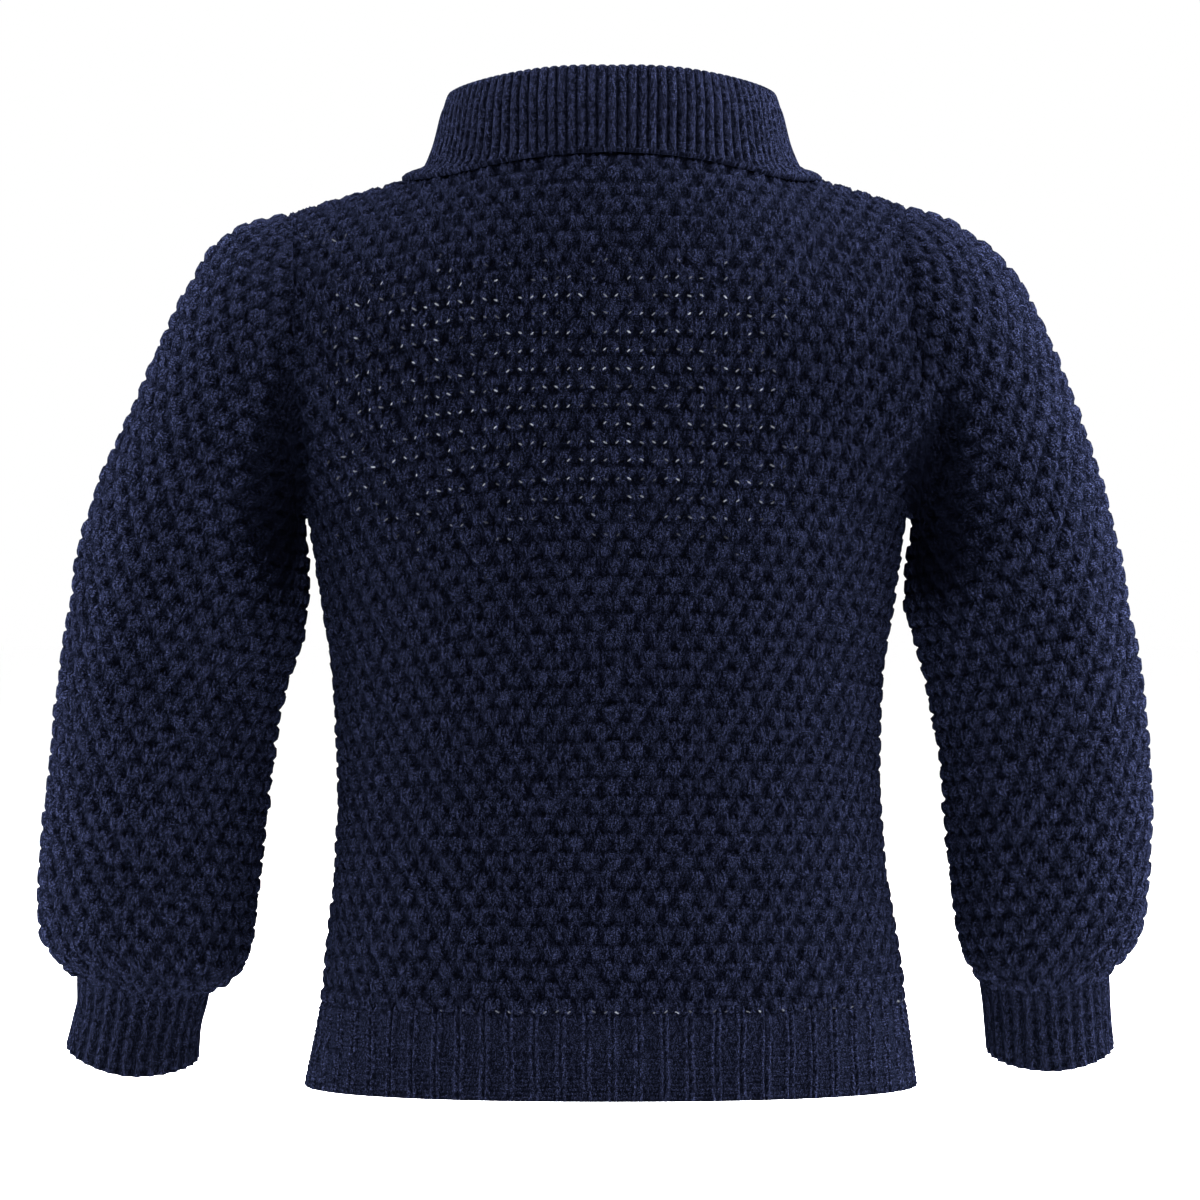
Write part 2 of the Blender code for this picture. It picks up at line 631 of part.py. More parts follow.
def collar_profile(turn: float, side: int, body: BVHTree) -> np.ndarray:
    """Middle line of the collar at one turn: up the stand, over the fold and down the fall."""
    degrees = math.degrees(turn)
    keys = column(COLLAR_TABLE, "turn")
    value = {
        name: float(smooth(degrees, keys, column(COLLAR_TABLE, name)))
        for name in CollarSection._fields
    }
    inset = value["inset"] + COLLAR_WALL / 2.0
    seam = Vector(neck_point(np.array(turn), side, inset))
    depth = NECK_BACK_DEPTH if turn < math.pi / 2.0 else NECK_FRONT_DEPTH
    way_out = Vector((seam.x / NECK_HALF_WIDTH**2, seam.y / depth**2, 0.0)).normalized()
    up = Vector((0.0, 0.0, 1.0))
    radius = COLLAR_FOLD_RADIUS
    crown = seam + way_out * value["fold_out"] + up * (value["fold_rise"] - radius)
    edge = Vector((side * value["edge_x"], value["edge_y"], value["edge_z"]))
    path = [seam - up * STAND_DIP, seam.lerp(crown, 0.5)]
    for step in range(COLLAR_FOLD_STEPS + 1):
        angle = math.pi * step / COLLAR_FOLD_STEPS
        over = way_out * (1.0 - math.cos(angle)) + up * math.sin(angle)
        path.append(crown + over * radius)
    start = path[-1]
    for step in range(1, COLLAR_FALL_STEPS + 1):
        part = step / COLLAR_FALL_STEPS
        sway = value["sway"] * math.sin(math.pi * part)
        point = start.lerp(edge, part) + way_out * sway
        path.append(rest_on(body, point, FALL_CLEARANCE))
    return np.array([list(point) for point in path])


def make_collar() -> None:
    """Ribbed fold-over collar: stand, fold and fall in one wall, open at the centre front."""
    reach = math.radians(COLLAR_TABLE[-1].turn)
    turns = np.linspace(-reach, reach, COLLAR_SECTIONS + 1)
    body = body_faces()
    sections = [collar_profile(abs(turn), 1 if turn >= 0.0 else -1, body) for turn in turns]
    middle = np.array(sections).transpose(1, 0, 2)
    normals = outward(middle, closed=False)
    outer = middle + normals * COLLAR_WALL / 2.0
    wall_object("collar", outer, normals, COLLAR_WALL, RIB_KNIT, closed=False)


def button_mesh() -> bpy.types.Mesh:
    """Round button: dished top, rounded rim, flat back at z = 0."""
    radius, thickness = BUTTON_DIAMETER * MM / 2.0, BUTTON_THICKNESS * MM
    mesh = bmesh.new()
    points = [mesh.verts.new((point.radius * radius, 0.0, point.height * thickness))
              for point in BUTTON_PROFILE]
    edges = [mesh.edges.new(pair) for pair in zip(points, points[1:])]
    bmesh.ops.spin(mesh, geom=points + edges, axis=(0.0, 0.0, 1.0), cent=(0.0, 0.0, 0.0),
                   angle=2.0 * math.pi, steps=BUTTON_SIDES, use_merge=True)
    bmesh.ops.remove_doubles(mesh, verts=mesh.verts, dist=0.00001)
    bmesh.ops.recalc_face_normals(mesh, faces=mesh.faces)
    result = bpy.data.meshes.new("button")
    mesh.to_mesh(result)
    mesh.free()
    return result


def hole_cutter() -> bpy.types.Object:
    """Four upright pins that cut the thread holes of a button."""
    radius = BUTTON_HOLE_DIAMETER * MM / 2.0
    mesh = bmesh.new()
    for step in range(4):
        angle = math.radians(45.0 + 90.0 * step)
        place = Matrix.Translation((BUTTON_HOLE_SPREAD * MM * math.cos(angle),
                                    BUTTON_HOLE_SPREAD * MM * math.sin(angle),
                                    BUTTON_THICKNESS * MM / 2.0))
        bmesh.ops.create_cone(mesh, cap_ends=True, segments=BUTTON_HOLE_SIDES, radius1=radius,
                              radius2=radius, depth=3.0 * BUTTON_THICKNESS * MM, matrix=place)
    result = bpy.data.meshes.new("hole_cutter")
    mesh.to_mesh(result)
    mesh.free()
    cutter = bpy.data.objects.new("hole_cutter", result)
    bpy.context.collection.objects.link(cutter)
    cutter.hide_render = True
    cutter.display_type = "WIRE"
    return cutter


def cut_button() -> bpy.types.Mesh:
    """Return the button's mesh with its four holes cut through."""
    blank = bpy.data.objects.new("button_blank", button_mesh())
    bpy.context.collection.objects.link(blank)
    cutter = hole_cutter()
    modifier = blank.modifiers.new("holes", "BOOLEAN")
    modifier.operation = "DIFFERENCE"
    modifier.object = cutter
    bpy.context.view_layer.update()
    evaluated = blank.evaluated_get(bpy.context.evaluated_depsgraph_get())
    result = bpy.data.meshes.new_from_object(evaluated)
    result.materials.clear()
    result.materials.append(make_material("button", BUTTON_RESIN))
    for item in (blank, cutter):
        bpy.data.objects.remove(item, do_unlink=True)
    return result


def make_buttons() -> None:
    """Buttons down the outer band, each lying flat on it."""
    mesh = cut_button()
    lift = BAND_LEVEL + CURVED_SEAM_GAP
    for number in range(BUTTON_COUNT):
        part = number / (BUTTON_COUNT - 1)
        height = BUTTON_TOP_HEIGHT + (BUTTON_BOTTOM_HEIGHT - BUTTON_TOP_HEIGHT) * part
        centre, normal = band_frame(height)
        item = bpy.data.objects.new("button_%d" % (number + 1), mesh)
        item.location = (centre + normal * lift) * MM
        item.rotation_euler = normal.to_track_quat("Z", "Y").to_euler()
        bpy.context.collection.objects.link(item)


def band_frame(height: float) -> tuple:
    """Point on the middle face of the bands' centre line at a height, and the way out there."""
    heights = np.linspace(HEM_HEIGHT, UNDERARM_HEIGHT, BAND_SAMPLES)[:-1]
    turns = np.linspace(math.pi, math.radians(BAND_TOP_TURN), BAND_SAMPLES)
    points, normals = band_strip(heights, turns)
    middle = BAND_COLUMNS // 2
    line, out = points[:, middle], normals[:, middle]
    y = float(np.interp(height, line[:, 2], line[:, 1]))
    way = [float(np.interp(height, line[:, 2], out[:, axis])) for axis in range(3)]
    return Vector((0.0, y, height)), Vector((0.0, way[1], way[2])).normalized()


def main() -> None:
    """Build every piece of the cardigan."""
    clear_scene()
    make_back()
    make_front("front_left", LEFT_ARMHOLE)
    make_front("front_right", RIGHT_ARMHOLE)
    make_arm(LEFT_ARMHOLE, LEFT_SLEEVE, LEFT_CUFF)
    make_arm(RIGHT_ARMHOLE, RIGHT_SLEEVE, RIGHT_CUFF)
    make_hem_ribs()
    make_bands()
    make_collar()
    make_buttons()


main()
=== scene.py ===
"""Child's cardigan in navy bubble-stitch wool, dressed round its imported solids.

Every piece of cloth is a thin shell on the form of its solid, knitted in relief.  A shell starts
from a grid of points (rows going up the cloth, columns going to the right as seen from outside),
gets stitch coordinates in real millimetres along and across the wales, and is pushed in and out
by the relief of its stitch.  Lengths are millimetres until a mesh is made, +Z is up, the front
faces -Y and +X is the wearer's left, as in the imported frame.
"""

from __future__ import annotations

import logging
import math
import sys
from collections.abc import Callable
from dataclasses import dataclass, field
from enum import Enum
from functools import partial
from typing import NamedTuple

import bpy
import numpy as np
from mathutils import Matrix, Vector

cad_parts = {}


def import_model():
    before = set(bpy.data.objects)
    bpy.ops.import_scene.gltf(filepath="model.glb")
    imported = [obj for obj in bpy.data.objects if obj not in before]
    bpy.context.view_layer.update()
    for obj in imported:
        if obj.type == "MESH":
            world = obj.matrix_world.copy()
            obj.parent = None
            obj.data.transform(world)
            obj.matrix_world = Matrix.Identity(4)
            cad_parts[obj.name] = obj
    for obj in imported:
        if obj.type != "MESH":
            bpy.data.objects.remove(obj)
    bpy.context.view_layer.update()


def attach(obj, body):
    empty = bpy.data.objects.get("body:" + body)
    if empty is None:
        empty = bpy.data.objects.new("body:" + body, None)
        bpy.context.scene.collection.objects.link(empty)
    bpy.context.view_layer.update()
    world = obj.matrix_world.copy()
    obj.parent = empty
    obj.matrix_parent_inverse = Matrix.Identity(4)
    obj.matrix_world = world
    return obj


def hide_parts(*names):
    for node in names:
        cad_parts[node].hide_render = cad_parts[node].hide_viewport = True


LOG = logging.getLogger("cardigan")
Array = np.ndarray
Pair = tuple[float, float]
Triple = tuple[float, float, float]
Socket = bpy.types.NodeSocket
Adder = Callable[..., bpy.types.NodeOutputs]
MM = 0.001
QUARTER, HALF_TURN, TURN = math.pi / 2.0, math.pi, 2.0 * math.pi

# Driving sizes in millimetres, the solids' own apart from the seams.  The solids stand apart at
# their seams; here the gap is closed to a hair, and a panel's edge laps into its neighbour's.
SEAM_GAP = 0.06
SEAM_LAP = 0.4
RIB_JOIN_HEIGHT = -341.0
HEM_HEIGHT = -375.0
UNDERARM_HEIGHT = -138.0
BUBBLE_WALL = 3.0
BAND_WIDTH = 26.0
BAND_WALL = 2.2
BAND_LEVEL = (BAND_WALL + SEAM_GAP) / 2.0
BAND_TOP_TURN = 17.0
COLLAR_WALL = 2.4


class BodyLevel(NamedTuple):
    """One level of the body below the underarm: reach to each side, and depth each way."""

    height: float
    left: float
    right: float
    back: float
    front: float


class YokeLevel(NamedTuple):
    """One level above the underarm, set by its turn round the armhole in degrees."""

    turn: float
    back_height: float
    back_depth: float
    front_height: float
    front_depth: float


class Armhole(NamedTuple):
    """The open ring that a sleeve is set into, from the underarm point to the shoulder point."""

    side: int
    under_x: float
    under_z: float
    top_x: float
    top_z: float
    half_depth: float
    bow: float

    @property
    def word(self) -> str:
        """Which of the wearer's sides it is on."""
        return "left" if self.side > 0 else "right"


class SleeveRing(NamedTuple):
    """One ring of a sleeve or cuff: its two ends seen from behind, and its depth."""

    inner_x: float
    inner_z: float
    outer_x: float
    outer_z: float
    half_depth: float
    centre_y: float


class CollarSection(NamedTuple):
    """One section of the collar: turn round the neck, its fold, and the free edge of its fall."""

    turn: float
    inset: float
    fold_rise: float
    fold_out: float
    edge_x: float
    edge_y: float
    edge_z: float
    sway: float


class RimPoint(NamedTuple):
    """One point of a button's profile, as shares of its radius and thickness."""

    radius: float
    height: float


class Crease(NamedTuple):
    """One soft fold: where it starts and ends, its half width, and its rise (below 0, a trough)."""

    start: Triple
    end: Triple
    width: float
    rise: float


class Push(NamedTuple):
    """One soft push of the cloth: its centre, how far it reaches each way, and where it moves."""

    centre: Triple
    reach: Triple
    move: Triple


class Lamp(NamedTuple):
    """One square studio light: its place and width in metres, and its power in watts."""

    name: str
    place: Triple
    power: float
    width: float


def rows(kind: type, *values: tuple) -> tuple:
    """A table of rows of one kind, from the plain values of each."""
    return tuple(kind(*row) for row in values)


BODY_LEVELS = rows(
    BodyLevel,
    (-375.0, 125.5, 124.5, 85.0, 87.0),
    (-341.0, 119.0, 120.0, 83.0, 86.0),
    (-320.0, 117.0, 117.5, 82.0, 85.0),
    (-283.0, 113.0, 111.5, 79.5, 83.0),
    (-250.0, 112.0, 109.5, 78.5, 82.0),
    (-215.0, 113.5, 110.0, 78.5, 82.0),
    (-178.0, 118.5, 115.0, 80.0, 83.0),
    (-156.0, 122.0, 118.5, 81.5, 84.0),
    (-138.0, 125.0, 121.0, 82.0, 84.0),
)
YOKE_LEVELS = rows(
    YokeLevel,
    (180.0, -138.0, 82.0, -139.0, 84.0),
    (150.0, -118.0, 82.5, -121.0, 84.0),
    (120.0, -95.0, 82.5, -103.0, 82.0),
    (90.0, -69.0, 81.5, -86.0, 78.5),
    (60.0, -40.0, 78.5, -70.0, 73.5),
    (30.0, -11.0, 70.0, -55.0, 67.0),
    (0.0, 8.0, 50.0, -42.0, 58.0),
)
LEFT_ARMHOLE = Armhole(1, 125.0, -138.0, 134.0, -18.0, 52.0, 0.0)
RIGHT_ARMHOLE = Armhole(-1, 121.0, -138.0, 121.0, -14.5, 52.0, 3.0)
LEFT_SLEEVE = rows(
    SleeveRing,
    (127.0, -143.0, 148.5, -22.0, 55.5, 0.0),
    (127.0, -147.0, 161.0, -29.5, 57.0, 0.0),
    (126.8, -151.0, 173.0, -47.0, 56.5, 0.0),
    (126.2, -156.0, 184.5, -71.0, 55.0, 0.0),
    (125.6, -162.0, 197.0, -99.0, 53.0, -1.0),
    (125.6, -174.0, 211.0, -130.0, 51.0, -2.0),
    (127.5, -191.0, 220.5, -163.0, 49.5, -4.0),
    (135.0, -213.0, 226.5, -203.0, 48.0, -7.0),
    (140.0, -240.0, 231.0, -240.0, 46.5, -11.0),
    (143.5, -270.0, 234.5, -270.0, 45.5, -15.0),
    (147.0, -297.0, 237.0, -297.0, 44.0, -19.0),
    (149.0, -314.0, 236.5, -313.0, 41.5, -21.5),
    (152.0, -326.0, 230.0, -323.5, 37.0, -23.5),
    (158.5, -333.0, 223.5, -329.0, 31.0, -24.5),
    (166.5, -337.0, 221.5, -331.5, 26.5, -25.0),
)
LEFT_CUFF = rows(
    SleeveRing,
    (169.0, -345.5, 221.5, -341.0, 25.2, -26.8),
    (171.5, -355.0, 223.5, -350.0, 25.2, -28.6),
    (172.5, -367.0, 226.5, -361.0, 26.2, -31.0),
)
RIGHT_SLEEVE = rows(
    SleeveRing,
    (124.5, -143.0, 136.0, -19.5, 55.5, 0.0),
    (124.5, -147.0, 148.5, -27.5, 57.0, 0.0),
    (124.0, -151.0, 164.0, -41.5, 56.5, 0.0),
    (123.0, -156.0, 177.0, -65.5, 55.0, 0.0),
    (122.0, -163.0, 189.5, -95.5, 53.0, -1.0),
    (121.0, -177.0, 201.5, -131.0, 50.5, -2.0),
    (125.5, -194.0, 210.0, -166.0, 48.5, -4.0),
    (130.5, -214.0, 217.0, -203.0, 46.5, -7.0),
    (135.5, -240.0, 221.0, -239.0, 44.5, -11.0),
    (138.5, -270.0, 222.5, -269.0, 43.0, -15.0),
    (141.5, -297.0, 221.0, -296.0, 41.5, -19.0),
    (144.0, -314.0, 219.0, -312.0, 38.5, -21.5),
    (147.5, -325.0, 212.0, -322.5, 34.5, -23.0),
    (151.0, -330.0, 207.0, -327.5, 29.5, -24.0),
    (153.0, -334.5, 206.0, -331.0, 26.0, -25.0),
)
RIGHT_CUFF = rows(
    SleeveRing,
    (154.5, -343.5, 206.5, -341.0, 25.0, -26.8),
    (155.5, -353.5, 207.2, -351.0, 25.0, -28.6),
    (156.5, -363.5, 208.5, -361.0, 25.8, -31.0),
)
COLLAR_TABLE = rows(
    CollarSection,
    (0.0, 0.9, 29.5, 0.5, 0.0, 63.5, 10.0, 0.0),
    (30.0, 0.9, 30.3, 0.5, 36.0, 59.0, 7.8, -0.5),
    (60.0, 0.9, 30.3, 0.5, 68.5, 42.5, 0.3, -2.0),
    (90.0, 0.9, 30.0, 1.0, 85.5, 3.0, -5.6, -2.6),
    (120.0, 1.8, 24.0, 3.0, 86.0, -42.0, -17.0, -4.0),
    (150.0, 2.6, 16.0, 5.0, 68.0, -77.0, -50.0, 0.0),
    (178.5, 2.8, 8.0, 6.0, 36.0, -90.0, -84.0, 2.0),
)
BUTTON_PROFILE = rows(
    RimPoint,
    (0.0, 0.67),
    (0.3, 0.62),
    (0.56, 0.66),
    (0.66, 0.84),
    (0.74, 0.98),
    (0.83, 1.0),
    (0.92, 0.94),
    (0.98, 0.75),
    (1.0, 0.5),
    (0.96, 0.22),
    (0.85, 0.0),
    (0.0, 0.0),
)
BODY_CREASES = rows(
    Crease,
    ((112.0, 55.0, -150.0), (70.0, 84.0, -205.0), 9.0, -1.8),
    ((-108.0, 60.0, -160.0), (-66.0, 84.0, -222.0), 10.0, -1.6),
    ((100.0, 60.0, -262.0), (30.0, 82.0, -250.0), 9.0, -1.0),
    ((-100.0, 60.0, -288.0), (-38.0, 82.0, -300.0), 10.0, -1.1),
    ((40.0, 82.0, -120.0), (-30.0, 82.0, -128.0), 14.0, 0.9),
    ((110.0, -60.0, -152.0), (58.0, -84.0, -214.0), 9.0, -2.0),
    ((-108.0, -60.0, -148.0), (-62.0, -84.0, -206.0), 10.0, -2.2),
    ((92.0, -70.0, -272.0), (40.0, -84.0, -252.0), 9.0, -1.2),
    ((-94.0, -70.0, -252.0), (-44.0, -84.0, -274.0), 9.0, -1.3),
    ((118.0, -30.0, -60.0), (82.0, -70.0, -96.0), 8.0, -1.6),
    ((-112.0, -30.0, -62.0), (-76.0, -72.0, -100.0), 8.0, -1.5),
)
LEFT_SLEEVE_CREASES = rows(
    Crease,
    ((140.0, 30.0, -216.0), (186.0, 42.0, -204.0), 8.0, -2.6),
    ((146.0, 20.0, -268.0), (196.0, 30.0, -282.0), 8.0, -1.8),
    ((196.0, 46.0, -150.0), (214.0, 30.0, -232.0), 9.0, 1.4),
    ((132.0, -40.0, -182.0), (190.0, -54.0, -206.0), 9.0, -2.6),
    ((150.0, -58.0, -244.0), (214.0, -50.0, -226.0), 8.0, -1.8),
    ((222.0, 0.0, -176.0), (206.0, -40.0, -160.0), 8.0, -1.4),
)
RIGHT_SLEEVE_CREASES = rows(
    Crease,
    ((-134.0, 30.0, -206.0), (-178.0, 40.0, -190.0), 8.0, -2.4),
    ((-140.0, 20.0, -262.0), (-190.0, 32.0, -250.0), 8.0, -2.0),
    ((-186.0, 46.0, -140.0), (-206.0, 30.0, -226.0), 9.0, 1.4),
    ((-130.0, -40.0, -190.0), (-184.0, -52.0, -176.0), 9.0, -2.4),
    ((-146.0, -56.0, -236.0), (-204.0, -48.0, -256.0), 8.0, -2.0),
    ((-210.0, 0.0, -182.0), (-194.0, -40.0, -196.0), 8.0, -1.3),
)
CUFF_PUSHES = rows(
    Push,
    ((199.0, 0.0, -366.0), (24.0, 30.0, 12.0), (0.0, 0.0, -3.6)),
    ((-182.0, 0.0, -364.0), (24.0, 30.0, 12.0), (0.0, 0.0, -2.6)),
)
# The cloth is drawn deep in behind each armhole seam, where a full sleeve meets the body.
ARMHOLE_PUSHES = rows(
    Push,
    ((132.0, 46.0, -128.0), (8.5, 40.0, 42.0), (0.0, -30.0, 0.0)),
    ((141.0, 46.0, -136.0), (13.0, 40.0, 36.0), (0.0, -14.0, 0.0)),
    ((-127.0, 46.0, -143.0), (9.0, 40.0, 32.0), (0.0, -30.0, 0.0)),
    ((-140.0, 46.0, -146.0), (13.0, 40.0, 34.0), (0.0, -14.0, 0.0)),
    ((-124.0, 42.0, -98.0), (11.0, 60.0, 17.0), (-4.0, 4.0, 0.0)),
    ((-134.0, 46.0, -110.0), (7.5, 40.0, 20.0), (0.0, -24.0, 0.0)),
    ((134.0, -46.0, -122.0), (10.0, 40.0, 40.0), (0.0, 20.0, 0.0)),
    ((-134.0, -46.0, -122.0), (10.0, 40.0, 40.0), (0.0, 20.0, 0.0)),
)
LAMPS = rows(
    Lamp,
    ("key_panel", (-1.2, 0.15, 1.4), 330.0, 1.2),
    ("top_panel", (0.0, 0.1, 1.9), 200.0, 1.4),
    ("left_panel", (1.9, -0.1, 0.4), 255.0, 1.0),
    ("right_panel", (-1.9, 0.0, 0.4), 200.0, 1.0),
    ("front_panel", (0.6, -1.3, 1.5), 55.0, 1.2),
)


class Facing(Enum):
    """Which side of the body a panel covers, as the sign of its Y."""

    BACK = 1
    FRONT = -1

    @property
    def word(self) -> str:
        """Its name in the tables' columns."""
        return self.name.lower()


def smooth(at: Array, keys: Array, values: Array) -> Array:
    """Curve through (keys, values) that never overshoots: a cubic between each two keys, whose
    slope at a key is the weighted harmonic mean of its neighbours' slopes, or nought at a turn.

    Args:
        at: places to read the curve at.
        keys: rising places of the given values.
        values: one value, or one array of values, for each key.

    Returns:
        The curve at each place, with the values' own further axes kept.
    """
    keys, values = np.asarray(keys, float), np.asarray(values, float)
    further = (1,) * (values.ndim - 1)
    at = np.clip(np.asarray(at, float), keys[0], keys[-1])
    widths = np.diff(keys)
    spread = widths.reshape((-1,) + further)
    slopes = np.diff(values, axis=0) / spread
    tangents = np.zeros_like(values)
    tangents[0], tangents[-1] = slopes[0], slopes[-1]
    before, after = slopes[:-1], slopes[1:]
    heavy = 2.0 * spread[1:] + spread[:-1]
    light = spread[1:] + 2.0 * spread[:-1]
    same_way = before * after > 0.0
    safe_before, safe_after = np.where(same_way, before, 1.0), np.where(same_way, after, 1.0)
    mean = (heavy + light) / (heavy / safe_before + light / safe_after)
    tangents[1:-1] = np.where(same_way, mean, 0.0)
    index = np.clip(np.searchsorted(keys, at, side="right") - 1, 0, len(widths) - 1)
    width = widths[index].reshape(at.shape + further)
    part = ((at - keys[index]) / widths[index]).reshape(at.shape + further)
    square, cube = part**2, part**3
    return (
        (2.0 * cube - 3.0 * square + 1.0) * values[index]
        + (cube - 2.0 * square + part) * width * tangents[index]
        + (3.0 * square - 2.0 * cube) * values[index + 1]
        + (cube - square) * width * tangents[index + 1]
    )


def ease(value: Array, start: float, end: float) -> Array:
    """Soft step: 0 up to start, 1 from end, and 3t^2 - 2t^3 of the share t between them."""
    part = np.clip((value - start) / (end - start), 0.0, 1.0)
    return part * part * (3.0 - 2.0 * part)


def column(table: tuple, name: str) -> Array:
    """One named column of a table."""
    return np.array([getattr(row, name) for row in table], float)


def scatter(first: Array, second: Array, seed: int) -> Array:
    """Even-spread number from 0 to 1 for each pair of whole numbers, the same on each run: the
    fraction left by a large sine of their weighted sum.  The weights are only uneven numbers."""
    value = np.sin(first * 12.9898 + second * 78.233 + seed * 37.719) * 43758.5453
    return value - np.floor(value)


def unit(vectors: Array) -> Array:
    """Vectors of the same directions, one long."""
    return vectors / np.maximum(np.linalg.norm(vectors, axis=-1, keepdims=True), 1e-9)


def outward(points: Array, closed: bool = False) -> Array:
    """Way out at each point of a grid: the cross product of its column and row directions."""
    along = np.gradient(points, axis=0)
    if closed:
        across = np.roll(points, -1, axis=1) - np.roll(points, 1, axis=1)
    else:
        across = np.gradient(points, axis=1)
    return unit(np.cross(across, along))


def wrap(grid: Array) -> Array:
    """A grid with its first column once more after its last."""
    return np.concatenate([grid, grid[:, :1]], axis=1)


def quads(index: Array) -> Array:
    """Four-sided faces between the neighbours of a grid of indices, facing outwards."""
    around = (index[:-1, :-1], index[:-1, 1:], index[1:, 1:], index[1:, :-1])
    return np.stack(around, axis=-1).reshape(-1, 4)


# The cut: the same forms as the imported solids, read at any fineness.


@dataclass(frozen=True)
class TorsoForm:
    """Form of the body: sections below the underarm, a fan round each armhole above it."""

    neck_half_width: float = 64.0
    neck_back_depth: float = 50.0
    neck_front_depth: float = 58.0
    neck_side_height: float = 1.0
    neck_back_rise: float = 7.0
    neck_front_drop: float = 43.0
    shoulder_bow: float = 0.5
    squareness: float = 2.25
    shoulder_share: float = 5.0 / 12.0
    blend: float = 1.6

    def neck_depth(self, turn: Array) -> Array:
        """Depth of the neck ellipse at each turn: one half behind, a deeper one in front."""
        return np.where(turn <= QUARTER, self.neck_back_depth, self.neck_front_depth)

    def neck_point(self, turn: Array, side: float | Array, inset: float | Array) -> Array:
        """Neck seam: half an ellipse behind and half a deeper one in front, raised at the back
        and dropped at the front with the square of the cosine of the turn."""
        x = side * (self.neck_half_width - inset) * np.sin(turn)
        y = (self.neck_depth(turn) - inset) * np.cos(turn)
        rise = self.neck_back_rise * np.cos(np.minimum(turn, QUARTER)) ** 2
        drop = self.neck_front_drop * np.cos(np.maximum(turn, QUARTER)) ** 2
        return np.stack([x, y, self.neck_side_height + rise - drop], axis=-1)

    @staticmethod
    def armhole_point(hole: Armhole, turn: Array, way: float | Array) -> Array:
        """Armhole: half an ellipse from the shoulder (turn 0) to the underarm, bowed outwards,
        with the sign of its Y given as the way."""
        x_mean, x_half = (hole.top_x + hole.under_x) / 2.0, (hole.top_x - hole.under_x) / 2.0
        z_mean, z_half = (hole.top_z + hole.under_z) / 2.0, (hole.top_z - hole.under_z) / 2.0
        reach = x_mean + x_half * np.cos(turn) + hole.bow * np.sin(turn) ** 2
        depth = way * hole.half_depth * np.sin(turn)
        return np.stack([hole.side * reach, depth, z_mean + z_half * np.cos(turn)], axis=-1)

    def section(self, edge: Array, centre_y: Array, centre_z: Array, share: Array,
                stop: float) -> Array:
        """Squared-off ellipse from an edge point (share 0) by x = stop (1) to the centre (2)."""
        power = 2.0 / self.squareness
        start = np.arcsin(np.abs(edge[..., 1] / centre_y) ** (1.0 / power))
        reach = np.abs(edge[..., 0]) / np.cos(start) ** power
        stop_angle = np.arccos((stop / reach) ** (1.0 / power))
        angle = start + np.minimum(share, 1.0) * (stop_angle - start)
        angle = angle + np.clip(share - 1.0, 0.0, 1.0) * (QUARTER - stop_angle)
        x = np.sign(edge[..., 0]) * reach * np.maximum(np.cos(angle), 0.0) ** power
        y = centre_y * np.sin(angle) ** power
        z = centre_z + (edge[..., 2] - centre_z) * (x / edge[..., 0]) ** 2
        return np.stack([x, y, z], axis=-1)

    def top_curve(self, hole: Armhole, facing: Facing, share: Array, stop: float) -> Array:
        """Shoulder seam from the armhole to the neck, then the neckline as far as share 2."""
        shoulder = np.clip(share / self.shoulder_share, 0.0, 1.0)
        x = hole.top_x + (self.neck_half_width - hole.top_x) * shoulder
        z = hole.top_z + (self.neck_side_height - hole.top_z) * shoulder
        z = z + self.shoulder_bow * np.sin(HALF_TURN * shoulder)
        on_shoulder = np.stack([hole.side * x, np.zeros_like(x), z], axis=-1)
        stop_turn = math.asin(stop / self.neck_half_width)
        past_shoulder = (share - self.shoulder_share) / (1.0 - self.shoulder_share)
        turn = QUARTER - np.clip(past_shoulder, 0.0, 1.0) * (QUARTER - stop_turn)
        turn = turn - np.clip(share - 1.0, 0.0, 1.0) * stop_turn
        if facing is Facing.FRONT:
            turn = HALF_TURN - turn
        on_neck = self.neck_point(turn, hole.side, 0.0)
        return np.where((share <= self.shoulder_share)[..., None], on_shoulder, on_neck)

    def lower_rows(self, hole: Armhole, facing: Facing, heights: Array, shares: Array,
                   stop: float) -> Array:
        """Rows of half the body between the hem and the underarm: one section at each height."""
        keys = column(BODY_LEVELS, "height")
        reach = smooth(heights, keys, column(BODY_LEVELS, hole.word))
        depth = facing.value * smooth(heights, keys, column(BODY_LEVELS, facing.word))
        edge = np.stack([hole.side * reach, np.zeros_like(reach), heights], axis=-1)[:, None, :]
        return self.section(edge, depth[:, None], heights[:, None], shares[None, :], stop)

    def yoke_rows(self, hole: Armhole, facing: Facing, turns: Array, shares: Array,
                  stop: float) -> Array:
        """Rows above the underarm, fanning round the armhole and easing into the top seams."""
        keys = column(YOKE_LEVELS, "turn")[::-1]
        height, depth = (
            smooth(np.degrees(turns), keys, column(YOKE_LEVELS, facing.word + measure)[::-1])
            for measure in ("_height", "_depth")
        )
        depth = facing.value * depth
        edge = self.armhole_point(hole, turns, facing.value)[:, None, :]
        rows = self.section(edge, depth[:, None], height[:, None], shares[None, :], stop)
        towards_top = np.clip(1.0 - turns / QUARTER, 0.0, 1.0)[:, None, None] ** self.blend
        return rows + (self.top_curve(hole, facing, shares, stop)[None] - rows) * towards_top

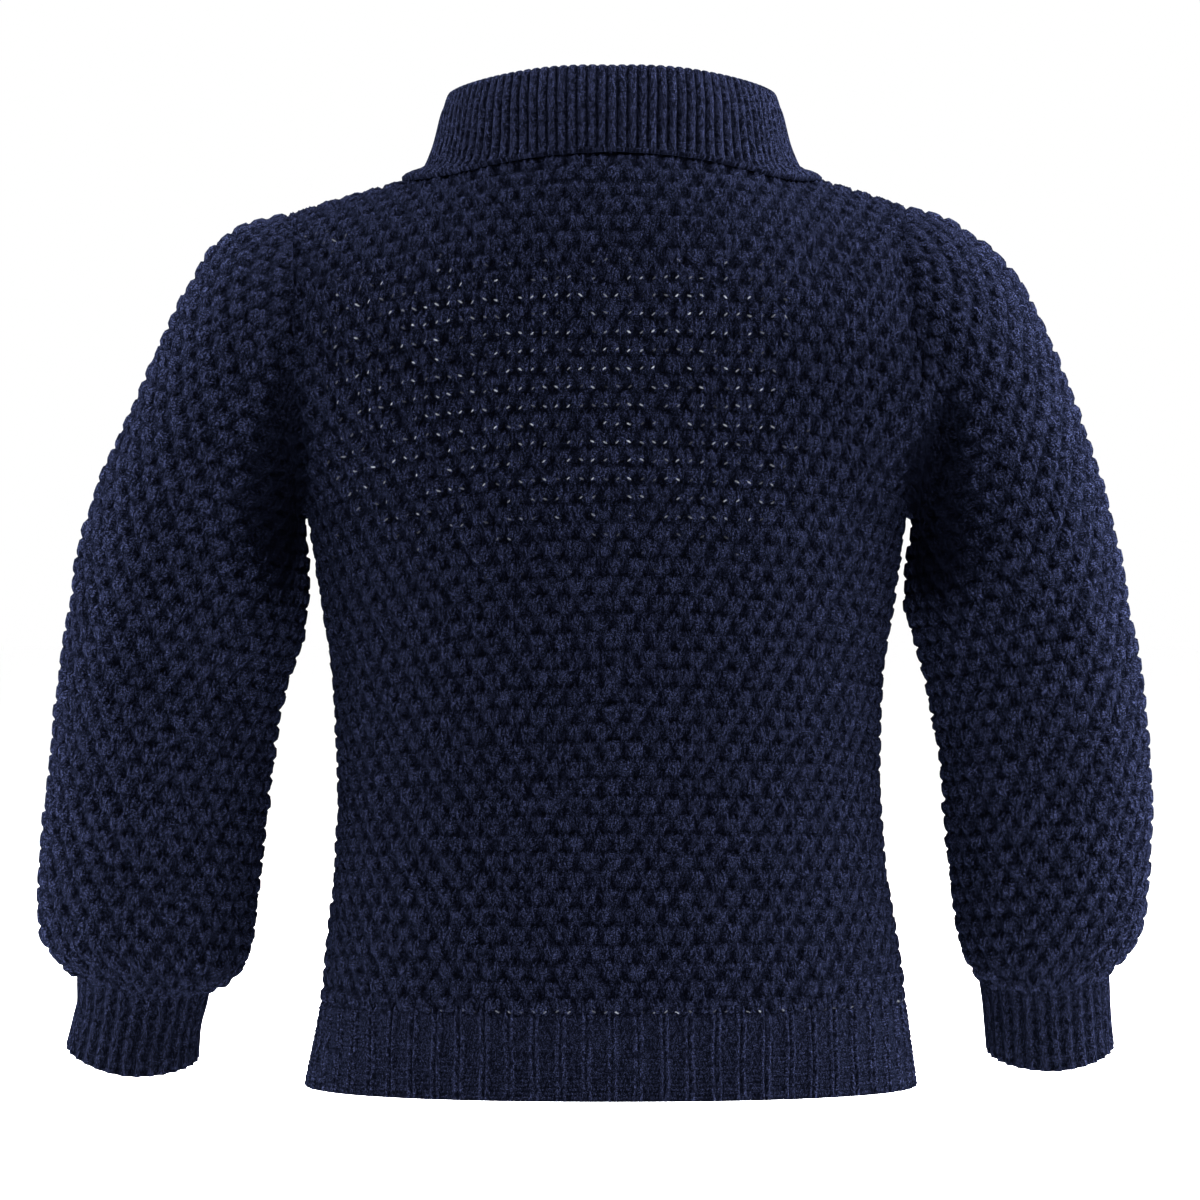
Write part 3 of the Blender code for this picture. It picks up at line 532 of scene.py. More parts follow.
    def half(self, hole: Armhole, facing: Facing, heights: Array, turns: Array, shares: Array,
             stop: float) -> Array:
        """Half of the back or front, from its side seam to share 1, or on to the centre line.

        Args:
            hole: the armhole on that side.
            facing: back or front.
            heights: heights of the rows below the underarm, rising.
            turns: turns of the rows above it round the armhole, falling.
            shares: shares of the way in from the side seam.
            stop: x at share 1.

        Returns:
            Points as rows x columns x 3.
        """
        parts = []
        if len(heights):
            parts.append(self.lower_rows(hole, facing, heights, shares, stop))
        if len(turns):
            parts.append(self.yoke_rows(hole, facing, turns, shares, stop))
        points = np.concatenate(parts)
        points[..., 1] += facing.value * (SEAM_GAP / 2.0 - SEAM_LAP)
        return points


TORSO = TorsoForm()


def back_points(heights: Array, turns: Array, half_columns: int) -> Array:
    """Outer face of the back, from the left side seam round to the right one."""
    shares = np.linspace(0.0, 1.0, half_columns + 1)
    left = TORSO.half(LEFT_ARMHOLE, Facing.BACK, heights, turns, shares, 0.0)
    right = TORSO.half(RIGHT_ARMHOLE, Facing.BACK, heights, turns, shares, 0.0)
    return np.concatenate([left, right[:, -2::-1]], axis=1)


def front_points(hole: Armhole, heights: Array, turns: Array, columns: int) -> Array:
    """Outer face of one front.  From halfway in it moves out or in to the level of its own
    button band, and its edge laps into the band's."""
    shares = np.linspace(0.0, 1.0, columns + 1)
    stop = BAND_WIDTH / 2.0 + SEAM_GAP - SEAM_LAP
    points = TORSO.half(hole, Facing.FRONT, heights, turns, shares, stop)
    lap = -hole.side * BAND_LEVEL * ease(shares, 0.5, 1.0)
    if hole.side > 0:
        points, lap = points[:, ::-1], lap[::-1]
    return points + outward(points) * lap[None, :, None]


def band_points(heights: Array, turns: Array, columns: int) -> Array:
    """Middle face between the two button bands: the fronts' own centre strip."""
    outwards = np.linspace(2.0, 1.0, columns // 2 + 1)
    stop = BAND_WIDTH / 2.0
    left = TORSO.half(LEFT_ARMHOLE, Facing.FRONT, heights, turns, outwards, stop)
    right = TORSO.half(RIGHT_ARMHOLE, Facing.FRONT, heights, turns, outwards, stop)
    return np.concatenate([right[:, :0:-1], left], axis=1)


def ring_points(rings: tuple, side: int, turns: Array) -> Array:
    """Rings of a sleeve: each an ellipse on its two ends seen from behind and its own depth,
    square to the run of the sleeve.  Turn 0 is the outer end, a quarter the back."""
    centre_y = column(rings, "centre_y")
    inner, outer = (
        np.stack([side * column(rings, end + "_x"), centre_y, column(rings, end + "_z")], axis=-1)
        for end in ("inner", "outer")
    )
    middle, half = (inner + outer) / 2.0, (outer - inner) / 2.0
    depth_way = unit(np.cross(half, np.gradient(middle, axis=0)) * side)
    depth_way *= np.sign(depth_way[:, 1:2])
    depth = depth_way * column(rings, "half_depth")[:, None]
    cos, sin = np.cos(turns)[None, :, None], np.sin(turns)[None, :, None]
    return middle[:, None] + half[:, None] * cos + depth[:, None] * sin


# Stitches.


@dataclass(frozen=True)
class Stitch:
    """A stitch in relief, its lengths in millimetres.

    Attributes:
        pitch: width of its repeat across the wales.
        depth: height of its relief.
        mean: share of the depth that lies below the cloth's middle face.
    """

    pitch: float
    depth: float
    mean: float

    def relief(self, u: Array, v: Array) -> Array:
        """Height, from about 0 to about 1, at each length across and along the wales."""
        raise NotImplementedError


@dataclass(frozen=True)
class BubbleStitch(Stitch):
    """Bubble stitch: staggered rows of puffed loops, each a bunch of strands that is broad and
    tufted at its head and narrows to a tail between the two bubbles below.

    Attributes:
        row: height of one course of bubbles.
        tail: how far the tail reaches below its course, as a share of the course.
        neck: where the tail widens into the head, as shares of the bubble's length.
        narrow, spread: half width of the tail and what the head adds, as shares of the pitch.
        low: height of the tail, as a share of the head's.
        roundness: power of the cross-section, smaller for a boxier bubble.
        groove, few, many: depth of the grooves, and the strands in one bubble or another.
        ragged: how much shorter a bubble is in its grooves, as a share of its length.
        starts, ends, splits: where it rises, where it falls beside its top, and where the
            grooves set in, as shares of its length.
        jitter, swing: how far bubbles stray, and how much more they lean.
        turned: how far the strands turn about a bubble, when they are few or many.
        uneven: how they differ in length, width and height.
    """

    pitch: float = 9.62
    depth: float = 2.3
    mean: float = 0.5
    row: float = 7.3
    tail: float = 0.7
    neck: Pair = (0.3, 0.55)
    narrow: float = 0.21
    spread: float = 0.19
    low: float = 0.42
    roundness: float = 0.36
    groove: float = 0.5
    few: float = 2.4
    many: float = 3.2
    ragged: float = 0.1
    starts: Pair = (0.0, 0.2)
    ends: Pair = (-0.13, 0.03)
    splits: Pair = (0.1, 0.4)
    jitter: float = 0.7
    swing: float = 1.6
    turned: Pair = (0.3, 0.2)
    uneven: Triple = (0.08, 0.12, 0.2)
    seed: int = 3

    def one_row(self, u: Array, v: Array, up: int) -> Array:
        """Height of the row of bubbles that starts in this course, or in the one above it.

        The height is a lengthways rise and fall times a rounded cross-section, whose half width
        grows from the tail to the head, times two or three strands that fan out upwards.
        """
        course = np.floor(v / self.row) + up
        middle = np.where(np.mod(course, 2.0) > 0.5, 0.5 * self.pitch, 0.0)
        cell = np.floor((u - middle) / self.pitch + 0.5)
        chance = [scatter(cell, course, self.seed + step) - 0.5 for step in range(6)]
        longer, wider, higher = self.uneven
        along = (v / self.row - course + self.tail) / (1.0 + self.tail) + longer * chance[2]
        lean = self.jitter * (chance[0] + chance[3] * (along - 0.5) * self.swing)
        head = ease(along, *self.neck)
        width = self.pitch * (self.narrow + self.spread * head) * (1.0 + wider * chance[1])
        across = (u - middle - cell * self.pitch + lean) / width
        few = np.cos((across + self.turned[0] * chance[5]) * self.few * HALF_TURN - HALF_TURN)
        many = np.cos((across + self.turned[1] * chance[5]) * self.many * HALF_TURN)
        tufts = 0.5 - 0.5 * np.where(chance[4] > 0.0, few, many)
        crown = np.clip(1.0 - across**2, 0.0, 1.0) ** self.roundness
        top = 1.0 - self.ragged * tufts
        rise = (self.low + (1.0 - self.low) * head) * ease(along, *self.starts)
        fall = 1.0 - ease(along, top + self.ends[0], top + self.ends[1])
        grooves = 1.0 - self.groove * tufts * ease(along, *self.splits)
        return crown * rise * fall * (1.0 + higher * chance[1]) * grooves

    def relief(self, u: Array, v: Array) -> Array:
        """Height from about 0 in the hollows to about 1 on the bubbles: the higher of two rows."""
        return np.maximum(self.one_row(u, v, 0), self.one_row(u, v, 1))


@dataclass(frozen=True)
class PairedRib(Stitch):
    """Hem rib: two thin raised wales close together, then a wide recess of purl courses.

    Attributes:
        spread, wale: half the way between the two wales, and half width of each.
        recess: where the recess starts and is full, from the middle of the pair.
        stitch, course, purl: lengths of stitches and purl courses, and height of the latter.
        stray, wander, winding: how far a pair stands aside, how far it winds, and how slowly.
    """

    pitch: float = 10.3
    depth: float = 1.9
    mean: float = 0.35
    spread: float = 1.25
    wale: float = 0.72
    recess: Pair = (2.0, 2.8)
    stitch: float = 2.1
    course: float = 1.7
    purl: float = 0.17
    stray: float = 0.5
    wander: float = 0.25
    winding: float = 5.0
    seed: int = 5

    def relief(self, u: Array, v: Array) -> Array:
        """Two bell curves a pitch apart, and a faint wave of purl courses in the recess."""
        cell = np.floor(u / self.pitch + 0.5)
        aside = self.stray * (scatter(cell, np.zeros_like(cell), self.seed) - 0.5)
        sideways = u - cell * self.pitch + aside + self.wander * np.sin(v / self.winding + cell)
        wales = np.exp(-(((np.abs(sideways) - self.spread) / self.wale) ** 2))
        wales = wales * (0.85 + 0.15 * np.cos(v * TURN / self.stitch + cell))
        courses = 1.0 + np.cos(v * TURN / self.course)
        return wales + self.purl * ease(np.abs(sideways), *self.recess) * courses


@dataclass(frozen=True)
class LadderRib(Stitch):
    """Cuff rib: thin raised wales, this half width, with a ladder of purl courses between."""

    pitch: float = 5.7
    depth: float = 1.5
    mean: float = 0.5
    wale: float = 1.45
    course: float = 1.5
    purl: float = 0.22

    def relief(self, u: Array, v: Array) -> Array:
        """A bell curve at each wale, and a wave of purl courses between wales."""
        sideways = np.mod(u + self.pitch / 2.0, self.pitch) - self.pitch / 2.0
        wales = np.exp(-((sideways / self.wale) ** 2))
        ladder = 0.5 + 0.5 * np.cos(v * TURN / self.course)
        return wales + self.purl * (1.0 - wales) * ladder


@dataclass(frozen=True)
class PlainRib(Stitch):
    """One-by-one rib: broad round raised wales with narrow grooves, the same on both sides."""

    pitch: float = 4.2
    depth: float = 1.7
    mean: float = 0.7
    groove: Pair = (0.05, 0.9)
    course: float = 2.0
    waviness: float = 0.07

    def relief(self, u: Array, v: Array) -> Array:
        """A soft step on a cosine across the wales, with a slight wave of stitches."""
        wave = np.abs(np.cos(u * HALF_TURN / self.pitch))
        return ease(wave, *self.groove) * (1.0 + self.waviness * np.cos(v * TURN / self.course))


# Folds.


def folded(points: Array, normals: Array, creases: tuple, pushes: tuple) -> Array:
    """How far creases and pushes move each point.

    A crease moves it along its normal, falling off as a bell curve of the distance to the
    crease's line; a push moves it the push's own way, falling off as a bell curve in each axis.
    """
    moved = np.zeros_like(points)
    for crease in creases:
        start, run = np.array(crease.start), np.subtract(crease.end, crease.start)
        part = np.clip(((points - start) @ run) / (run @ run), 0.0, 1.0)
        away = np.linalg.norm(points - start - part[..., None] * run, axis=-1)
        moved += normals * (crease.rise * np.exp(-((away / crease.width) ** 2)))[..., None]
    for push in pushes:
        off = (points - np.array(push.centre)) / np.array(push.reach)
        moved += np.exp(-(off**2).sum(axis=-1))[..., None] * np.array(push.move)
    return moved


def pressed(moved: Array) -> Array:
    """Painted shade of a deep fold: 1 where the cloth moves 18 mm or more."""
    return ease(np.linalg.norm(moved, axis=-1), 5.0, 18.0)


# Cloth.

# Distance to an edge that doesn't count, the least step that the wales are laid by, and the most
# of its own rectangle that a flat cut fills.
FAR = 1000.0
SHORTEST_STEP = 0.2
FULLEST_CUT = 0.999


def running(steps: Array, axis: int = 0) -> Array:
    """Running total of steps along an axis, starting at nought."""
    return np.insert(np.cumsum(steps, axis=axis), 0, 0, axis=axis)


@dataclass
class Cloth:
    """A stretch of cloth as a grid of points, with its stitch coordinates.

    Attributes:
        points: rows x columns x 3, at the middle height of the stitches.
        closed: whether the last column joins the first.
        across: length along each row, one column more than the points when closed.
        rise: length up each column, square to the rows, shaped as across.
        u: length across the wales, for the stitches.
        v: length along the wales, for the stitches.
    """

    points: Array
    closed: bool = False
    across: Array = field(init=False)
    rise: Array = field(init=False)
    u: Array = field(init=False)
    v: Array = field(init=False)

    def __post_init__(self) -> None:
        """Work out the plain runs: along each row, and square to the rows up each column."""
        points = self.wrapped()
        self.across = running(np.linalg.norm(np.diff(points, axis=1), axis=2), axis=1)
        ways = unit(np.gradient(points, axis=1))
        rise = np.diff(points, axis=0)
        level = (ways[1:] + ways[:-1]) / 2.0
        rise = rise - level * np.sum(rise * level, axis=2, keepdims=True)
        self.rise = running(np.linalg.norm(rise, axis=2))
        self.u, self.v = self.across, self.rise

    def wrapped(self) -> Array:
        """The points, with the first column again after the last one where the grid is closed."""
        return wrap(self.points) if self.closed else self.points

    def ways_out(self, points: Array) -> Array:
        """Ways out at points that are laid out as the wrapped ones."""
        return wrap(outward(points[:, :-1], closed=True)) if self.closed else outward(points)

    def laid(self, start_column: int, per_pitch: float | None = None) -> Cloth:
        """Take the plain runs as stitch coordinates: wales square to the rows of the grid.

        Args:
            start_column: the column where the length across is nought.
            per_pitch: where given, the length across is scaled so that each row has the same
                number of wales as the first, this wide there.

        Returns:
            The cloth itself.
        """
        u = self.across
        if per_pitch is not None:
            wales = max(round(float(u[0, -1]) / per_pitch), 1)
            u = u / u[:, -1:] * wales * per_pitch
        self.u = u - u[:, start_column : start_column + 1]
        return self

    def lay_along(self, start_column: int, wales: Array, thin: int = 6) -> None:
        """Let the wales run along given directions instead of along the grid's own columns.

        On a thinned grid, every step between neighbours should add its part along the wale to
        the length up the cloth and its part square to the wale to the length across.  The two
        lengths that come nearest to that, in least squares, are then read on the whole grid.

        Args:
            start_column: the column where the length across is nought.
            wales: for each point, the direction its wale runs in, shaped as the wrapped points.
            thin: how many steps of the grid make one step of the thinned grid.
        """
        points = self.wrapped()
        normals = outward(points)
        up = unit(wales - normals * np.sum(wales * normals, axis=2, keepdims=True))
        ways = np.stack([np.cross(up, normals), up], axis=2)[::thin, ::thin].reshape(-1, 2, 3)
        rows, columns = points[::thin, ::thin].shape[:2]
        places = points[::thin, ::thin].reshape(-1, 3)
        index = np.arange(len(places)).reshape(rows, columns)
        first = np.concatenate([index[:, :-1].ravel(), index[:-1].ravel()])
        second = np.concatenate([index[:, 1:].ravel(), index[1:].ravel()])
        step = places[second] - places[first]
        wanted = np.einsum("ijk,ik->ij", (ways[first] + ways[second]) / 2.0, step)
        weight = 1.0 / np.maximum((step**2).sum(axis=1), SHORTEST_STEP**2)
        matrix, total = np.zeros((len(places), len(places))), np.zeros((len(places), 2))
        for one, other, sign in ((second, first, 1.0), (first, second, -1.0)):
            np.add.at(matrix, (one, one), weight)
            np.add.at(matrix, (one, other), -weight)
            np.add.at(total, one, sign * wanted * weight[:, None])
        # Only steps are asked for, so one corner is held at nought.
        matrix[0, 0] += 1.0
        found = np.linalg.solve(matrix, total).reshape(rows, columns, 2)
        for count, many in zip((rows, columns), points.shape):
            found = smooth(np.arange(many), np.arange(count) * thin, found).transpose(1, 0, 2)
        self.u = found[..., 0] - found[:, start_column, 0].mean()
        self.v = found[..., 1] - found[0, :, 1].mean()

    def flat_size(self) -> Triple:
        """Width, length and area of the flat cut, in metres and square metres."""
        width, length = float(self.across[:, -1].max()), float(self.rise[-1].max())
        points = self.wrapped()
        crossed = np.cross(points[1:, 1:] - points[:-1, :-1], points[1:, :-1] - points[:-1, 1:])
        area = min(float(np.linalg.norm(crossed, axis=2).sum() / 2.0), FULLEST_CUT * width * length)
        return width * MM, length * MM, area * MM * MM

    def edge_distance(self, sides: bool, bottom: bool, top: bool) -> Array:
        """Distance of each point from the chosen edges of the cloth."""
        distances = [np.full(self.u.shape, FAR)]
        if sides and not self.closed:
            distances += [self.across, self.across[:, -1:] - self.across]
        if bottom:
            distances.append(self.rise)
        if top:
            distances.append(self.rise[-1:] - self.rise)
        return np.minimum.reduce(distances)


@dataclass
class Shell:
    """Closed thin shell: a fine outer face, a coarser inner face and the rims between them.

    Attributes:
        outer, inner: points of each face, without the repeated column of a closed grid.
        u, v: stitch coordinates, with the first column again after the last when closed.
        relief, holes: height of the stitch, lowered in deep folds as painted shade, and chance of a
            painted spot of light for a pinhole, shaped as u.
        thin: how many steps of the outer face make one step of the inner one.
    """

    name: str
    outer: Array
    inner: Array
    closed: bool
    u: Array
    v: Array
    relief: Array
    holes: Array
    thin: int = 3

    def corners(self) -> list[Array]:
        """Faces as index arrays into the outer grid of coordinates followed by the inner one."""
        thin = self.thin
        fine = np.arange(self.u.size).reshape(self.u.shape)
        shape = fine[::thin, ::thin].shape
        coarse = fine.size + np.arange(shape[0] * shape[1]).reshape(shape)
        faces = [quads(fine), quads(coarse)[:, ::-1]]
        rims = [(fine[0][::-1], coarse[0][::-1]), (fine[-1], coarse[-1])]
        if not self.closed:
            rims += [(fine[:, 0], coarse[:, 0]), (fine[::-1, -1], coarse[::-1, -1])]
        for edge, far in rims:
            steps = [edge[i : len(edge) - thin + i : thin] for i in range(thin + 1)]
            faces.append(np.stack(steps + [far[1:], far[:-1]], axis=-1))
        return faces

    def vertex_of(self) -> Array:
        """The vertex that each coordinate belongs to: a closed grid's last column is its first."""
        outer = np.arange(self.outer[..., 0].size).reshape(self.outer.shape[:2])
        inner = outer.size + np.arange(self.inner[..., 0].size).reshape(self.inner.shape[:2])
        return np.concatenate([
            (wrap(grid) if self.closed else grid).ravel() for grid in (outer, inner)
        ])

    def build(self) -> bpy.types.Mesh:
        """Return the mesh, with a UV map in metres, and at each point the relief that painted shade
        is read from and the chance of a painted spot of light.
        """
        faces = self.corners()
        stitches = np.stack([self.u, self.v], axis=-1)
        inside = stitches[:: self.thin, :: self.thin]
        coordinates = np.concatenate([stitches.reshape(-1, 2), inside.reshape(-1, 2)])
        vertices = np.concatenate([self.outer.reshape(-1, 3), self.inner.reshape(-1, 3)]) * MM
        loops = np.concatenate([face.ravel() for face in faces])
        sizes = np.concatenate([np.full(len(face), face.shape[1]) for face in faces])
        mesh = bpy.data.meshes.new(self.name)
        mesh.vertices.add(len(vertices))
        mesh.vertices.foreach_set("co", vertices.astype(np.float32).ravel())
        mesh.loops.add(len(loops))
        mesh.loops.foreach_set("vertex_index", self.vertex_of()[loops].astype(np.int32))
        mesh.polygons.add(len(sizes))
        mesh.polygons.foreach_set("loop_start", running(sizes)[:-1].astype(np.int32))
        mesh.update(calc_edges=True)
        layer = mesh.uv_layers.new(name="stitches")
        layer.data.foreach_set("uv", (coordinates[loops] * MM).astype(np.float32).ravel())
        # The relief attribute carries the painted shade of hollows and deep folds; the holes
        # attribute carries the painted spots of light.
        for label, values, level in (("relief", self.relief, 0.5), ("holes", self.holes, 0.0)):
            fine = values[:, : self.outer.shape[1]].ravel()
            coarse = np.full(self.inner[..., 0].size, level)
            attribute = mesh.attributes.new(label, "FLOAT", "POINT")
            attribute.data.foreach_set("value", np.concatenate([fine, coarse]).astype(np.float32))
        mesh.shade_smooth()
        mesh.validate()
        return mesh


# Finishes.

MATH = "ShaderNodeMath"
RANGE = "ShaderNodeMapRange"
MIX = "ShaderNodeMix"
NOISE = "ShaderNodeTexNoise"


def linear(colour: str) -> tuple[float, float, float, float]:
    """Turn an sRGB hex colour into linear red, green, blue and alpha."""
    parts = [int(colour[start : start + 2], 16) / 255.0 for start in (1, 3, 5)]
    red, green, blue = (
        part / 12.92 if part <= 0.04045 else ((part + 0.055) / 1.055) ** 2.4 for part in parts
    )
    return red, green, blue, 1.0


def node(tree: bpy.types.NodeTree, kind: str, inputs: dict | tuple = (),
         **settings: object) -> bpy.types.NodeOutputs:
    """Add a node.

    Args:
        tree: the node tree it joins.
        kind: its Blender type name.
        inputs: plain values or output sockets to link, in order or by the inputs' names.
        settings: the node's own properties.

    Returns:
        The new node's outputs.
    """
    made = tree.nodes.new(kind)
    for name, value in settings.items():
        setattr(made, name, value)
    for name, value in inputs.items() if isinstance(inputs, dict) else enumerate(inputs):
        if isinstance(value, Socket):
            tree.links.new(value, made.inputs[name])
        else:
            made.inputs[name].default_value = value
    return made.outputs


def new_material(name: str, constants: dict) -> tuple[bpy.types.Material, bpy.types.Node]:
    """A new material and its surface shader, with constants on the shader's own sockets."""
    material = bpy.data.materials.new(name)
    material.use_nodes = True
    surface = material.node_tree.nodes["Principled BSDF"]
    for socket, value in constants.items():
        surface.inputs[socket].default_value = value
    return material, surface


@dataclass(frozen=True)
class Wool:
    """Worsted wool yarn, dyed navy, knitted: matt, fuzzy, lighter where light grazes its raised
    fibres, and with shade painted darker down in the hollows where loops shade each other.

    Attributes:
        crest, hollow, fleck: shares of the dye's light from crests, hollows and lightest tufts; the
            hollows' lower share is painted shade.
        daylight: painted colour of the light seen through a pinhole.
        strand_mm, fibre_mm, wale_mm: widths of strands, tufts of fibre and wales.
        slant: how far the strands of a wale's two legs lean, each to its own side.
        shade_from, shade_reach: relief of the deepest painted shade and of full light.
    """

    name: str
    dye: str = "#3a4060"
    crest: float = 0.013
    hollow: float = 0.006
    fleck: float = 0.32
    daylight: str = "#484a50"
    strand_mm: float = 1.0
    fibre_mm: float = 0.5
    strand_depth_mm: float = 0.5
    wale_mm: float = 3.43
    slant: float = 0.3
    shade_from: float = -0.05
    shade_reach: float = 0.85

    def tone(self, share: float) -> tuple[float, float, float, float]:
        """The dye's own colour, darkened to a share of its light."""
        red, green, blue, alpha = linear(self.dye)
        return red * share, green * share, blue * share, alpha

    def build(self) -> bpy.types.Material:
        """Return the material: colour by depth as painted shade, by strand and fibre, with painted
        light at pinholes, and two scales of bump.
        """
        material, surface = new_material(self.name, {
            "Roughness": 0.95, "Specular IOR Level": 0.0, "Sheen Weight": 0.02,
            "Sheen Roughness": 0.4, "Sheen Tint": linear("#6d7cb4"),
        })
        tree = material.node_tree
        add = partial(node, tree)
        stitches = add("ShaderNodeUVMap", uv_map="stitches")[0]
        scaled = add("ShaderNodeVectorMath", {0: stitches, 3: 1.0 / MM}, operation="SCALE")[0]
        across, along = add("ShaderNodeSeparateXYZ", (scaled,))[:2]
        relief = add("ShaderNodeAttribute", attribute_name="relief")["Fac"]
        strands = self.strands(add, across, along)
        # Single fibres are too fine to draw, so tufts of them break the strands up.
        fibres = add(NOISE, {
            "Vector": scaled, "Scale": 1.0 / self.fibre_mm, "Detail": 1.0, "Roughness": 0.6,
        })["Fac"]
        # Painted shade: the colour darkens from crest to hollow with the relief, and with the shade
        # painted into deep folds.
        deep = add(RANGE, {
            "Value": relief, "From Min": self.shade_from, "From Max": self.shade_reach,
        }, interpolation_type="SMOOTHSTEP")[0]
        body = add(MIX, {
            0: deep, 6: self.tone(self.hollow), 7: self.tone(self.crest),
        }, data_type="RGBA")[2]
        # Pale flecks on raised strands and tufts: partly the yarn's own mottle, partly painted
        # light; they thin out towards the hollows as painted shade.
        raised = add(RANGE, {"Value": strands, "From Min": 0.42, "From Max": 0.58})[0]
        speckle = add(RANGE, {"Value": fibres, "From Min": 0.46, "From Max": 0.6})[0]
        lit = add(MATH, (raised, speckle), operation="MULTIPLY")[0]
        on_crests = add(MATH, (deep, 0.65, 0.2), operation="MULTIPLY_ADD")[0]
        flecked = add(MATH, (lit, on_crests), operation="MULTIPLY")[0]
        tone = add(MIX, {0: flecked, 6: body, 7: self.tone(self.fleck)}, data_type="RGBA")[2]
        # Painted light: pale spots where light would come through a pinhole.
        shade = add(MIX, {
            0: self.pinholes(add, across, along), 6: tone, 7: linear(self.daylight),
        }, data_type="RGBA")[2]
        tufts = add(MATH, (fibres, 0.9), operation="MULTIPLY")[0]
        height = add(MATH, (strands, 1.0, tufts), operation="MULTIPLY_ADD")[0]
        bump = add("ShaderNodeBump", {
            "Height": height, "Strength": 0.9, "Distance": self.strand_depth_mm * MM,
        })[0]
        tree.links.new(shade, surface.inputs["Base Color"])
        tree.links.new(bump, surface.inputs["Normal"])
        return material

    def strands(self, add: Adder, across: Socket, along: Socket) -> Socket:
        """Strands run up the wales, and lean to one side in one leg of each wale and to the other
        side in the other: noise squeezed across the strands and drawn out along them."""
        wales = add(MATH, (across, self.wale_mm), operation="DIVIDE")[0]
        part = add(MATH, (wales,), operation="FRACT")[0]
        leg = add(MATH, (part, 0.5), operation="GREATER_THAN")[0]
        lean = add(MATH, (leg, 2.0 * self.slant, -self.slant), operation="MULTIPLY_ADD")[0]
        leaning = add(MATH, (lean, along, across), operation="MULTIPLY_ADD")[0]
        drawn_out = add(MATH, (along, 0.27), operation="MULTIPLY")[0]
        stretched = add("ShaderNodeCombineXYZ", (leaning, drawn_out))[0]
        return add(NOISE, {
            "Vector": stretched, "Scale": 1.0 / self.strand_mm, "Detail": 2.0, "Roughness": 0.75,
        })["Fac"]

    @staticmethod
    def pinholes(add: Adder, across: Socket, along: Socket) -> Socket:
        """Painted light: pale slanting spots at the corners of the bubbles, each standing for light
        that comes through a pinhole; the shell itself has no holes there.

        The stitch coordinates are folded into one cell of the stitch; a spot is a slanting
        ellipse at each lower corner, kept where a random number of its own is below the mask.
        """
        stitch = BubbleStitch()
        mask = add("ShaderNodeAttribute", attribute_name="holes")["Fac"]
        # Which half pitch of which course, the courses staggered by half a pitch.
        rise = add(MATH, (along, stitch.row), operation="DIVIDE")[0]
        course = add(MATH, (rise,), operation="FLOOR")[0]
        odd = add(MATH, (course, 2.0), operation="FLOORED_MODULO")[0]
        pitches = add(MATH, (across, stitch.pitch), operation="DIVIDE")[0]
        turn = add(MATH, (odd, -0.5, pitches), operation="MULTIPLY_ADD")[0]
        halves = add(MATH, (turn, 2.0), operation="MULTIPLY")[0]
        half = add(MATH, (halves,), operation="FLOOR")[0]
        cell = add("ShaderNodeCombineXYZ", (half, course))[0]
        chance = add("ShaderNodeTexWhiteNoise", {"Vector": cell}, noise_dimensions="2D")
        aside, higher, which = add("ShaderNodeSeparateXYZ", (chance["Color"],))[:3]
        # Millimetres from the spot's own middle, which wanders in its cell.
        part = add(MATH, (halves,), operation="FRACT")[0]
        x = add(MATH, (part, 0.5 * stitch.pitch, -0.27 * stitch.pitch), operation="MULTIPLY_ADD")[0]
        x = add(MATH, (x, aside), operation="ADD")[0]
        part = add(MATH, (rise,), operation="FRACT")[0]
        y = add(MATH, (part, stitch.row, -1.7), operation="MULTIPLY_ADD")[0]
        y = add(MATH, (higher, 0.8, y), operation="MULTIPLY_ADD")[0]
        # Along and across the slant, which falls one way or the other.
        side = add(MATH, (which, 0.6), operation="GREATER_THAN")[0]
        tilt = add(MATH, (side, -1.1, 0.65), operation="MULTIPLY_ADD")[0]
        straight_x = add(MATH, (x, 0.8), operation="MULTIPLY")[0]
        straight_y = add(MATH, (y, 0.8), operation="MULTIPLY")[0]
        tilted_x = add(MATH, (x, tilt), operation="MULTIPLY")[0]
        long_way = add(MATH, (y, tilt, straight_x), operation="MULTIPLY_ADD")[0]
        short_way = add(MATH, (straight_y, tilted_x), operation="SUBTRACT")[0]
        squares = []
        for length, reach in ((long_way, 0.85), (short_way, 0.34)):
            share = add(MATH, (length, reach), operation="DIVIDE")[0]
            squares.append(add(MATH, (share, 2.0), operation="POWER")[0])
        distance = add(MATH, tuple(squares), operation="ADD")[0]
        inside = add(RANGE, {
            "Value": distance, "From Min": 0.5, "From Max": 1.3, "To Min": 1.0, "To Max": 0.0,
        })[0]
        kept = add(MATH, (chance["Value"], mask), operation="LESS_THAN")[0]
        strength = add(MATH, (aside, 1.8), operation="POWER")[0]
        shown = add(MATH, (inside, kept), operation="MULTIPLY")[0]
        return add(MATH, (shown, strength), operation="MULTIPLY")[0]


@dataclass(frozen=True)
class Resin:
    """Cast polyester resin for buttons: dark, smooth, with a soft shine and a faint cloud."""

    name: str = "cast_resin"
    colour: str = "#04060c"
    cloud: str = "#080b15"
    cloud_mm: float = 3.0

    def build(self) -> bpy.types.Material:
        """Return the material: two near tones in slow noise under a soft gloss."""
        material, surface = new_material(self.name, {"Roughness": 0.35, "Specular IOR Level": 0.06})
        tree = material.node_tree
        add = partial(node, tree)
        spot = add("ShaderNodeTexCoord")["Object"]
        noise = add(NOISE, {
            "Vector": spot, "Scale": 1.0 / (self.cloud_mm * MM), "Detail": 3.0,
        })["Fac"]
        tone = add(MIX, {
            0: noise, 6: linear(self.colour), 7: linear(self.cloud),
        }, data_type="RGBA")[2]
        tree.links.new(tone, surface.inputs["Base Color"])
        return material


# Pieces.


